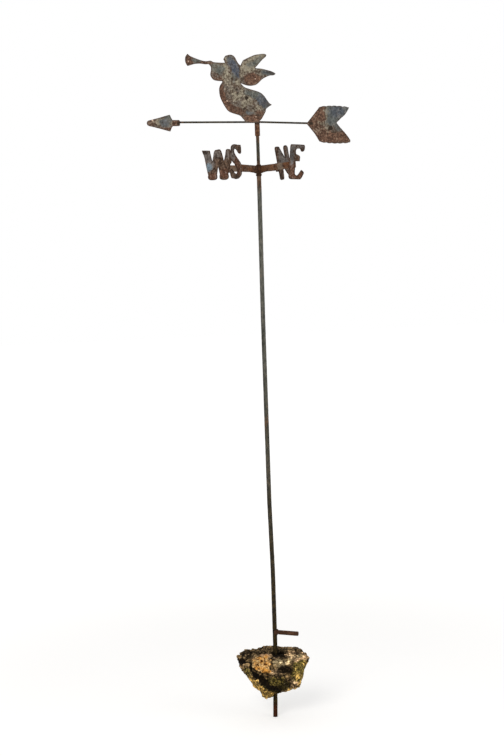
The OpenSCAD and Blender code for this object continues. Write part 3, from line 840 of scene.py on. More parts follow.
@dataclass(frozen=True)
class Weather:
    """How a plate has weathered: how much of each coat is left at large, and the patches on its front."""

    start: dict[Coat, float]
    patches: tuple[Patch, ...] = ()
    wobble: float = 4.0
    seed: float = 0.0

    def amounts(self, x: np.ndarray, z: np.ndarray, co: np.ndarray, front: np.ndarray
                ) -> dict[str, np.ndarray]:
        """Work out how much of each coat is on each point.

        Args:
            x: place across the plate in millimetres.
            z: place up the plate in millimetres.
            co: the points in metres, for the noise.
            front: 1 on the side that the patches are for and 0 on the other.

        Returns:
            An amount from 0 to 1 per point, under each coat's name.
        """
        shift_x = self.wobble * grain(co, mm(13), 2, self.seed + 1)
        shift_z = self.wobble * grain(co, mm(13), 2, self.seed + 2)
        cloud = grain(co * [1, 9, 1], mm(45), 2, self.seed + 3)  # squeezed through the plate
        out = {}
        for number, (coat, share) in enumerate(self.start.items()):
            amount = np.full(len(co), share)
            back = share + 0.5 * cloud * (1 if number % 2 else -1)
            for patch in self.patches:
                if patch.coat is coat:
                    amount = amount + patch.cover(x + shift_x, z + shift_z)
            out[coat.value] = np.clip(amount, 0, 1) * front + np.clip(back, 0, 1) * (1 - front)
        return out


def rim_share(co: np.ndarray, out: np.ndarray, across: np.ndarray, reach: float) -> np.ndarray:
    """How close each point of a plate is to its cut edge.

    Args:
        co: the plate's points.
        out: their normals.
        across: unit direction through the plate.
        reach: distance over which the edge fades.

    Returns:
        1 on the cut edge down to 0 at reach from it.
    """
    cut = np.nonzero(np.abs(out @ across) < 0.75)[0]
    tree = KDTree(len(cut))
    for number, index in enumerate(cut):
        tree.insert(co[index], number)
    tree.balance()
    far = np.array([tree.find(point)[2] for point in co])
    return np.clip(1 - far / reach, 0, 1)


def spread(piece: bpy.types.Object, across: np.ndarray, reach: float) -> None:
    """Thicken a plate's cut edge in the plate's own plane, as layers of paint and rust do.

    Args:
        piece: the plate.
        across: unit direction through it.
        reach: how far the edge moves out.
    """
    out = normals(piece)
    move_points(piece, points(piece) + (out - (out @ across)[:, None] * across) * reach)


# ---------------------------------------------------------------- sub-assemblies


@dataclass
class Mast:
    """The long, slightly bent post with its collar, and the spindle that stands in its top end.

    The rust's bands are rows of height, reach and amount, with the height in millimetres above the foot.
    """

    path: tuple[tuple[float, float], ...] = (
        mm(0, 0), mm(7.46, 238.5), mm(7.96, 480), mm(4.16, 700), mm(4.06, 1280), mm(6.66, 1687),
        mm(6.66, 1737),
    )
    radius: float = mm(7)
    waist_height: float = mm(65)
    waist_reach: float = mm(4)
    waist_depth: float = mm(0.4)
    rust_bands: tuple[tuple[float, float, float], ...] = ((1710, 30, 0.4), (275, 45, 0.15), (950, 40, 0.25))
    spindle_radius: float = mm(5.25)
    spindle_foot: float = mm(1702)
    spindle_tip: float = mm(1889)
    spindle_bands: tuple[tuple[float, float, float], ...] = ((1768, 14, 0.5), (1850, 14, 0.4))

    def post(self, bar: bpy.types.Material) -> None:
        """Model the post: scaly and pitted, with a rust waist under the mortar and red rust at its foot."""
        post = round_bar("post_bar", path_length(self.path), self.radius, 24, (24, 23), mm(0.7))
        corrode(post, self.radius, mm(0.25), 4.0)
        co = points(post)
        waist = self.waist_depth * np.clip(1 - ((co[:, 2] - self.waist_height) / self.waist_reach) ** 2, 0, 1)
        co[:, :2] *= (1 - waist / self.radius)[:, None]
        move_points(post, co)
        lay(post, self.path)
        z = points(post)[:, 2] * 1000
        carry(post, rust=0.26 - 0.14 * below(z, 200, 500) + bands(z, self.rust_bands),
              red=1.1 * below(z, 10, 60), low=0.1 + 0.9 * below(z, 250, 1100))
        dress(post, "mast", "old_bar", bar, "post")

    def spindle(self, bar: bpy.types.Material) -> None:
        """Model the spindle, which is rustiest above the hub and under the sleeve, where the wet stays."""
        length = self.spindle_tip - self.spindle_foot
        spindle = round_bar("spindle_bar", length, self.spindle_radius, 20, (9, 8), mm(1.6))
        corrode(spindle, self.spindle_radius, mm(0.12), 9.0)
        lay(spindle, ((AXIS_X, self.spindle_foot), (AXIS_X, self.spindle_tip)))
        z = points(spindle)[:, 2] * 1000
        carry(spindle, rust=0.32 + bands(z, self.spindle_bands), red=0, low=0.62)
        dress(spindle, "mast", "old_bar", bar, "spindle")

    def build(self, bar: bpy.types.Material, rust: bpy.types.Material) -> None:
        """Model the post, the spindle and the collar.

        Args:
            bar: finish of the round bars.
            rust: finish of the collar.
        """
        self.post(bar)
        self.spindle(bar)
        collar = worn("collar_ring", "collar_bead", mm(0.4), mm(0.3), mm(5), 2.0)
        carry(collar, dark=0.7 + 0.3 * grain(points(collar), mm(7), 2, 3), paint=0.2)
        dress(collar, "mast", "rusty_bar", rust, "collar_ring")


@dataclass
class AnchorPeg:
    """The short bar that kept the post from turning in the masonry, with its weld."""

    height: float = mm(276.5)
    turn: float = math.radians(-31)
    ripples: int = 13
    ripple_height: float = mm(0.3)

    def build(self, rust: bpy.types.Material) -> None:
        """Model the peg and the rippled bead round its root, both in rust."""
        peg = worn("anchor_peg", "peg_bar", mm(0.6), mm(0.25), mm(6), 6.0)
        carry(peg, dark=0.45 + 0.3 * grain(points(peg), mm(16), 2, 1), paint=0.1)
        dress(peg, "mast", "rusty_bar", rust, "anchor_peg")
        bead = worn("peg_weld", "peg_bead", mm(0.4), mm(0.3), mm(4), 7.0)
        co = points(bead)
        side = np.array([-math.sin(self.turn), math.cos(self.turn), 0])
        around = np.arctan2(co[:, 2] - self.height, (co - [AXIS_X, 0, 0]) @ side)
        move_points(bead, co + normals(bead) * (self.ripple_height * np.sin(around * self.ripples))[:, None])
        carry(bead, dark=0.5, paint=0)
        dress(bead, "mast", "weld_bead", rust, "peg_weld")


@dataclass
class CompassCross:
    """The hub, the four bars on edge and the four cut letters, which one old knock has bent about.

    The arms are rows of name, direction in degrees and the letter's seed. fuller holds outlines of sheet that
    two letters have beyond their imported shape, in millimetres across and up from the letter's middle.
    east_patch is where the grey patch on the east arm is, out from the hub, and its reach, in millimetres.
    ripple_rate is in radians for each millimetre, which gives the beads a ripple each 2.2 mm.
    """

    voxel: float = mm(0.8)
    swell: float = mm(0.3)
    rim: float = mm(4.5)
    arms: tuple[tuple[str, float, float], ...] = (
        ("north", 45, 26), ("east", -45, 26), ("south", -135, 27), ("west", 135, 24),
    )
    east_patch: tuple[float, float] = (79, 9)
    ripple_rate: float = 2.9
    bead_tuck: float = mm(5)
    bead_below: float = mm(1748)
    fuller: dict[str, tuple] = field(default_factory=lambda: {
        "south": (((32, 30), (34.5, 22), (34.5, 9.5), (22, 1.5), (10, -6), (11, 0), (20, 12), (27, 26)),),
        "west": (((-47, 43), (-53, 42), (-55.5, 20), (-55.5, 4), (-52, -1), (-47, -1)),),
    })

    def letter_weather(self, name: str, seed: float) -> Weather:
        """The paint left on one letter, placed from the letter's middle with X away from the hub."""
        plain = {Coat.PAINT: 0.24, Coat.HUE: 0.12, Coat.RUST: 0.2, Coat.DARK: 0.09}
        by_name = {
            "west": spots(
                paint=((30, -5, 11, 13, 0, 1), (35, 30, 16, 18, 0, 0.45), (-4, 34, 18, 14, 0, 0.35),
                       (20, 8, 14, 18, 0, 0.35), (-40, 30, 10, 16, 0, 0.3)),
                hue=((30, -5, 11, 12, 0, 0.95),),
                rust=((-30, -30, 22, 16, 0, 0.5), (15, -38, 24, 12, 0, 0.5)),
                dark=((40, 42, 12, 5, 0, 0.6),),
            ),
            "south": spots(
                rust=((0, 8, 30, 16, -40, 0.7), (-14, -22, 12, 20, 0, 0.5)),
                dark=((-26, 38, 7, 18, 0, 0.35), (10, 42, 14, 7, 0, 0.2), (0, -44, 20, 7, 0, 0.45)),
                paint=((16, 24, 16, 24, 0, 0.4),),
            ),
            "north": spots(
                paint=((-20, 20, 16, 34, 0, 0.42), (2, 0, 20, 20, 0, 0.55), (28, 24, 12, 30, 0, 0.3)),
                dark=((30, 42, 10, 10, 0, 0.3), (-20, -40, 10, 12, 0, 0.5)),
                rust=((26, 6, 12, 14, 0, 0.5), (30, -36, 14, 14, 0, 0.4)),
            ),
            "east": spots(
                paint=((-14, 24, 10, 34, 0, 0.22), (6, 44, 26, 10, 0, 0.35)),
                dark=((-14, 26, 10, 26, 0, 0.42), (22, 36, 7, 8, 0, 0.5)),
                hue=((-14, 16, 12, 22, 0, 0.4), (6, 44, 24, 8, 0, 0.05)),
                rust=((12, 6, 16, 12, 0, 0.25), (0, -40, 26, 12, 0, 0.5), (-12, -16, 12, 16, 0, 0.4)),
            ),
        }
        return Weather(plain, by_name[name], 3.0, seed)

    def letter(self, name: str, turn: float, seed: float, finish: bpy.types.Material) -> None:
        """Model and dress one letter.

        Args:
            name: north, east, south or west.
            turn: its arm's direction in degrees.
            seed: number that picks its weathering.
            finish: the letter sheet's material.
        """
        node = f"letter_{name}"
        low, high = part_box(node)
        middle = (np.array(low) + np.array(high)) / 2
        along = np.array([math.cos(math.radians(turn)), math.sin(math.radians(turn)), 0])
        across = np.array([-along[1], along[0], 0])
        depths = points(bpy.data.objects[node]) @ across
        back = middle + across * (depths.min() - middle @ across)
        through = across * np.ptp(depths)
        more = [sheet_piece(outline, back, along, through) for outline in self.fuller.get(name, ())]
        piece = worn(node, f"{node}_plate", self.voxel, mm(0.16), mm(5), 30 + turn / 45, more)
        spread(piece, across, self.swell)
        co, out = points(piece), normals(piece)
        x, z = (co - middle) @ along * 1000, (co[:, 2] - middle[2]) * 1000
        near = (out @ across) * (1 if name in ("south", "west") else -1) > -0.2
        carry(piece, **self.letter_weather(name, seed).amounts(x, z, co, near.astype(float)),
              rim=rim_share(co, out, across, self.rim))
        dress(piece, "mast", "letter_sheet", finish, node)

    def arm(self, name: str, turn: float, rust: bpy.types.Material) -> None:
        """Model and dress one arm, darker near the hub, with a patch of grey paint left on the east one.

        Args:
            name: north, east, south or west.
            turn: its direction in degrees.
            rust: its finish.
        """
        arm = worn(f"arm_{name}", f"arm_{name}_bar", self.voxel, mm(0.22), mm(7), 12 + turn / 45)
        co = points(arm)
        out_mm = self.from_hub(co)
        middle, reach = self.east_patch
        grey = bands(out_mm, ((middle, reach, 0.9),)) - 0.2 if name == "east" else 0.06
        carry(arm, dark=bands(out_mm, ((0, 22, 0.6),)) + 0.12 + 0.2 * grain(co, mm(20), 2, 4),
              paint=0.34 + 0.2 * grain(co, mm(30), 2, 6) - bands(out_mm, ((0, 30, 0.2),)) + grey)
        dress(arm, "mast", "rusty_bar", rust, f"arm_{name}")

    def from_hub(self, co: np.ndarray) -> np.ndarray:
        """How many millimetres out from the hub's axis each point is."""
        return np.linalg.norm(co[:, :2] - [AXIS_X, 0], axis=1) * 1000

    def beads(self, node: str, voxel: float, ripple: float, rust: bpy.types.Material) -> None:
        """Model and dress the weld beads of one node.

        Args:
            node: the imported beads.
            voxel: mesh size.
            ripple: height of the ripples across them.
            rust: their finish.
        """
        bead = worn(node, f"{node}_beads", voxel, mm(0.2), mm(4), 17.0)
        co = points(bead)
        moved = normals(bead) * (ripple * np.sin(self.from_hub(co) * self.ripple_rate))[:, None]
        if node == "letter_welds":  # the north letter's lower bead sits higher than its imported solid
            moved[:, 2] += self.bead_tuck * ((co[:, 0] > 0) & (co[:, 1] > 0) & (co[:, 2] < self.bead_below))
        move_points(bead, co + moved)
        carry(bead, dark=0.5 + 0.2 * grain(co, mm(9), 2, 3), paint=0)
        dress(bead, "mast", "weld_bead", rust, node)

    def build(self, rust: bpy.types.Material, sheet: bpy.types.Material) -> None:
        """Model the whole cross.

        Args:
            rust: finish of the hub, arms and beads.
            sheet: finish of the letters.
        """
        hub = worn("hub_sleeve", "hub_pipe", mm(0.5), mm(0.2), mm(5), 11.0)
        carry(hub, dark=0.72 + 0.3 * grain(points(hub), mm(10), 2, 2), paint=0.05)
        dress(hub, "mast", "rusty_bar", rust, "hub_sleeve")
        for name, turn, seed in self.arms:
            self.arm(name, turn, rust)
            self.letter(name, turn, seed, sheet)
        self.beads("arm_welds", mm(0.5), mm(0.25), rust)
        self.beads("letter_welds", mm(0.4), mm(0.3), rust)


@dataclass
class VanePlate:
    """One cut plate of the vane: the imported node, the piece's name, its weather and its wear."""

    node: str
    name: str
    weather: Weather
    seed: float
    moved: float = 0.0
    voxel: float = mm(1.0)
    swell: float = mm(0.75)
    rim: float = mm(4.2)

    def build(self, paint: bpy.types.Material) -> None:
        """Model and dress the plate, moved along the rod by as much as it says."""
        piece = worn(self.node, self.name, self.voxel, mm(0.2), mm(6), self.seed)
        across = np.array([0.0, 1.0, 0.0])
        spread(piece, across, self.swell)
        co, out = points(piece) + [self.moved, 0, 0], normals(piece)
        move_points(piece, co)
        x, z = (co[:, 0] - AXIS_X) * 1000, (co[:, 2] - ROD_Z) * 1000
        front = (out[:, 1] < 0.2).astype(float)
        carry(piece, **self.weather.amounts(x, z, co, front), rim=rim_share(co, out, across, self.rim))
        dress(piece, "vane", "peeling_paint", paint, self.node)


@dataclass
class Arrow:
    """The turning part below the angel: sleeve, rod, head and tail.

    The bands are where the rod rusts and the sleeve is darkest: rows of middle, reach and amount, in
    millimetres from the turning axis on the rod and above the foot on the sleeve. ripple_rate is in
    radians for each metre, which gives the beads a ripple each 1.9 mm.
    """

    rod_radius: float = mm(3)
    rod_path: tuple[tuple[float, float], ...] = (
        (AXIS_X - mm(267.5), ROD_Z), (AXIS_X + mm(8), ROD_Z), (AXIS_X + mm(182.93), ROD_Z - mm(4.886)),
    )
    rod_bands: tuple[tuple[float, float, float], ...] = ((-247, 14, 0.5), (0, 30, 0.4), (165, 20, 0.3))
    sleeve_bands: tuple[tuple[float, float, float], ...] = ((1894.3, 7, 0.7), (1854.3, 3, 0.35))
    tail_moved: float = mm(-2.2)
    ripple_rate: float = 3300.0
    ripple_height: float = mm(0.28)

    def head_weather(self) -> Weather:
        """Mauve-brown nose, cream fringe, grey-blue middle and a rusty tang."""
        return Weather(
            {Coat.PAINT: 0.2, Coat.HUE: 0.35, Coat.CREAM: 0.08,
             Coat.RUST: 0.35, Coat.DARK: 0.05, Coat.SPECK: 0.0},
            spots(
                paint=((-292, 0, 22, 14, 0, 0.5), (-278, 13, 14, 12, 0, 0.6), (-258, 0, 16, 12, 0, -0.3)),
                hue=((-288, -1, 20, 13, 0, 0.3), (-277, 12, 12, 12, 0, -0.4)),
                cream=((-298, 0, 24, 14, 0, 0.26), (-280, 2, 12, 12, 0, 0.42), (-314, 0, 5, 14, 0, 0.4),
                       (-300, 10, 14, 3, 24, 0.4), (-283, -6, 8, 3, -30, 0.4), (-330, 0, 14, 10, 0, 0.22),
                       (-256, 0, 14, 10, 0, 0.12)),
                rust=((-332, 0, 16, 12, 0, 0.35), (-285, -19, 22, 5, -12, 0.7), (-258, -2, 12, 9, 0, 0.7)),
                dark=((-252, -3, 5, 5, 0, 0.9),),
                speck=((-331, 6, 2.2, 2.2, 0, 0.9),),
            ),
            3.0, 41.0,
        )

    def tail_weather(self) -> Weather:
        """Rust on the front half and along the bottom, blue-grey behind, and a cream seam between them."""
        return Weather(
            {Coat.PAINT: 0.25, Coat.HUE: 0.3, Coat.CREAM: 0.04,
             Coat.RUST: 0.3, Coat.DARK: 0.05, Coat.SPECK: 0.0},
            spots(
                rust=((196, 22, 26, 34, 0, 0.75), (185, -2, 22, 20, 0, 0.6), (214, -44, 30, 24, -20, 0.6),
                      (250, -50, 44, 14, 0, 0.7), (290, -44, 22, 18, -40, 0.8)),
                paint=((198, 20, 30, 40, 0, -0.3), (235, -48, 60, 18, 0, -0.35), (266, 34, 36, 24, 0, 0.9),
                       (250, 2, 20, 20, 0, 0.3), (268, -20, 22, 14, -45, 0.35), (236, 0, 16, 18, 0, 0.4)),
                hue=((264, 30, 26, 18, 0, 0.5),),
                cream=((231, 32, 5, 30, -4, 1), (232, 26, 7, 12, 0, 0.45), (221, 34, 5, 3.5, 20, 0.5),
                       (230, 2, 7, 20, 0, 0.35), (258, -6, 16, 8, -30, 0.4), (206, -20, 26, 22, 0, 0.2),
                       (212, -4, 12, 8, 0, 0.3), (228, -22, 7, 12, 0, 0.2)),
                dark=((236, -22, 7, 5, 20, 0.8), (212, -8, 6, 5, 0, 0.4), (224, 42, 3, 5, 0, 0.35),
                      (173, -4, 8, 5, -40, 0.6), (188, 0, 14, 12, 0, 0.2), (252, -32, 10, 6, 0, 0.5),
                      (224, 18, 3, 9, 20, 0.5)),
            ),
            4.0, 47.0,
        )

    def build(self, bar: bpy.types.Material, rust: bpy.types.Material, paint: bpy.types.Material) -> None:
        """Model the sleeve, the rod, both end plates and their beads.

        Args:
            bar: finish of the rod.
            rust: finish of the sleeve and beads.
            paint: finish of the plates.
        """
        sleeve = worn("rotor_sleeve", "rotor_pipe", mm(0.5), mm(0.18), mm(6), 51.0)
        co = points(sleeve)
        dark = 0.1 + bands(co[:, 2] * 1000, self.sleeve_bands)
        carry(sleeve, dark=dark, paint=0.36 + 0.2 * grain(co, mm(14), 2, 4))
        dress(sleeve, "vane", "rusty_bar", rust, "rotor_sleeve")

        rod = round_bar("arrow_bar", path_length(self.rod_path), self.rod_radius, 16, (15, 14), mm(0.4))
        corrode(rod, self.rod_radius, mm(0.12), 55.0)
        lay(rod, self.rod_path, mm(5))
        x = (points(rod)[:, 0] - AXIS_X) * 1000
        carry(rod, rust=0.18 + bands(x, self.rod_bands), red=0, low=0.75)
        dress(rod, "vane", "old_bar", bar, "arrow_rod")
        VanePlate("arrow_head", "arrow_head_sheet", self.head_weather(), 57.0).build(paint)
        VanePlate("arrow_tail", "arrow_tail_sheet", self.tail_weather(), 59.0, self.tail_moved).build(paint)
        for node in ("sleeve_weld", "head_weld", "tail_weld", "angel_weld"):
            bead = worn(node, f"{node}_bead", mm(0.35), mm(0.2), mm(4), 61.0)
            co = points(bead)
            ripples = self.ripple_height * np.sin(co[:, 0] * self.ripple_rate)
            move_points(bead, co + normals(bead) * ripples[:, None])
            carry(bead, dark=0.5, paint=0)
            dress(bead, "vane", "weld_bead", rust, node)
        # the plug inside the sleeve has the shape it needs, so it only gets its finish
        plug = bpy.data.objects["thrust_plug"]
        plug.data.materials.clear()
        plug.data.materials.append(rust)
        log.info("thrust_plug: kept, in rust")


@dataclass
class Angel:
    """The cut plate of the flying angel with its trumpet, wings and long skirt."""

    seed: float = 73.0

    def weather(self) -> Weather:
        """The coats on the angel, placed from the turning axis and the rod's middle line."""
        return Weather(
            {Coat.PAINT: 0.22, Coat.HUE: 0.12, Coat.CREAM: 0.2,
             Coat.RUST: 0.22, Coat.DARK: 0.06, Coat.SPECK: 0.0},
            (
                # trumpet; its dark spot and speck are painted shade and a painted highlight in the bell's
                # mouth
                *spots(
                    rust=((-212, 187, 14, 16, 0, 0.8), (-160, 183, 22, 7, -4, 0.6)),
                    cream=((-205, 187, 26, 18, 0, -0.3),),
                    paint=((-188, 188, 14, 6, -10, 0.5),),
                    speck=((-216, 185, 2, 3, 0, 0.7),),
                    dark=((-214, 202, 4.2, 4.2, 0, 0.32),),
                ),
                # sleeve and arm
                *spots(
                    cream=((-124, 166, 20, 14, -12, 0.45), (-124, 150, 10, 10, 0, 0.21),
                           (-135, 138, 16, 16, 0, -0.12)),
                    paint=((-126, 166, 20, 13, -12, 0.35), (-112, 158, 14, 14, 0, 0.35),
                           (-128, 144, 12, 10, 0, 0.2)),
                    rust=((-135, 138, 13, 12, 0, 0.6), (-118, 132, 20, 7, -10, 0.5)),
                    dark=((-141, 172, 5.6, 4.2, 0, 0.4), (-120, 152, 2.1, 2.1, 0, 0.56),
                          (-127, 150, 2.1, 2.1, 0, 0.48), (-110, 178, 24, 3, 0, 0.28)),
                ),
                # shoulder
                *spots(
                    cream=((-98, 167, 7, 18, 14, 0.64), (-92, 142, 14, 14, 0, 0.34)),
                ),
                # head and back
                *spots(
                    cream=((-88, 190, 12, 8, 0, 0.45),),
                    rust=((-96, 188, 6, 12, 0, 0.4),),
                    paint=((-74, 178, 12, 26, 28, 0.5), (-62, 160, 10, 24, 14, 0.8),
                           (-72, 140, 10, 14, 0, 0.35)),
                    hue=((-72, 172, 13, 28, 28, 0.8), (-61, 156, 12, 26, 14, 0.9)),
                    dark=((-51, 166, 3, 18, 14, 0.4),),
                ),
                # wings
                *spots(
                    cream=((-43, 160, 7, 22, 0, 0.3), (-28, 188, 16, 7, 36, 0.15),
                           (4, 200, 24, 5, 10, 0.35), (-4, 184, 36, 16, 30, 0.55),
                           (-24, 166, 18, 8, 0, 0.3), (-12, 134, 24, 15, 0, -0.35),
                           (15, 151, 8, 10, 0, 0.25), (-12, 156, 24, 8, 0, 0.3)),
                    paint=((8, 186, 16, 12, 40, 0.4), (-14, 176, 14, 10, 10, 0.4),
                           (-12, 134, 26, 16, 0, -0.3), (38, 150, 22, 7, -6, 0.8)),
                    dark=((26, 203, 9, 5, 10, 0.32), (-12, 162, 3.5, 2.8, 0, 0.4),
                          (48, 150, 14, 6, -6, 0.5)),
                    rust=((-12, 134, 24, 15, 0, 0.95), (-22, 122, 20, 8, -10, 0.6)),
                    hue=((38, 150, 20, 6, 0, 0.35),),
                    speck=((-2, 133, 1.8, 2.2, 0, 0.7), (-24, 127, 1.8, 1.6, 0, 0.6)),
                ),
                # waist
                *spots(
                    dark=((-80, 133, 4.9, 3.5, 0, 0.6), (-52, 108, 7, 9, 0, 0.2),
                          (-71, 120, 2.8, 2.8, 0, 0.4)),
                    cream=((-90, 120, 16, 9, 0, 0.26), (-58, 120, 6, 12, 0, 0.35)),
                    rust=((-52, 108, 7, 9, 0, 0.3),),
                ),
                # skirt
                *spots(
                    rust=((-110, 80, 9, 36, 8, 0.75), (-92, 46, 16, 22, 30, 0.6),
                          (-68, 34, 28, 14, -16, 0.7), (-16, 12, 26, 11, 0, 0.8), (8, 24, 14, 12, 0, 0.7),
                          (-88, 15, 8, 6, 0, 0.3)),
                    cream=((-104, 98, 8, 10, 0, 0.25), (-100, 66, 16, 44, 10, -0.4),
                           (-66, 34, 34, 14, -16, -0.35), (-80, 92, 14, 14, 0, 0.26),
                           (-66, 76, 14, 12, 0, 0.34), (-50, 92, 5, 20, -20, 0.47),
                           (-38, 60, 7, 20, -30, 0.4), (-42, 82, 7, 10, 0, 0.4), (-22, 62, 10, 14, 0, 0.3),
                           (4, 42, 12, 10, 0, 0.3), (-16, 10, 30, 12, 0, -0.35), (8, 24, 14, 12, 0, -0.25)),
                    paint=((-96, 70, 20, 50, 8, -0.2), (-14, 86, 26, 12, -10, 0.6),
                           (16, 68, 18, 16, -40, 0.75), (28, 50, 12, 9, 0, 0.7), (-28, 27, 12, 6, 0, 0.5),
                           (-16, 8, 30, 10, 0, -0.3)),
                    dark=((-66, 98, 4.9, 4.9, 0, 0.68), (-60, 86, 2.8, 3.5, 0, 0.64),
                          (-88, 88, 3.5, 3.5, 0, 0.48), (-60, 72, 2.8, 2.8, 0, 0.4),
                          (-34, 72, 4.6, 4.6, 0, 0.85), (-12, 43, 4.9, 4.2, 0, 0.6),
                          (-43, 40, 3.5, 4.2, 0, 0.48), (-57, 55, 2.1, 2.1, 0, 0.4),
                          (28, 52, 14, 14, 0, 0.32), (-60, 40, 26, 12, -16, 0.3), (6, 20, 12, 12, 0, 0.26),
                          (-20, 22, 30, 3, 0, 0.24)),
                    hue=((16, 68, 18, 18, 0, 0.7), (28, 50, 14, 10, 0, 0.5), (-28, 27, 12, 7, 0, 0.45)),
                    speck=((-95, 64, 2.2, 2.2, 0, 1), (-6, 14, 2.2, 2.2, 0, 1)),
                ),
            ),
            4.0, 71.0,
        )

    def build(self, paint: bpy.types.Material) -> None:
        """Model and dress the angel's plate."""
        VanePlate("angel_plate", "angel_sheet", self.weather(), self.seed).build(paint)


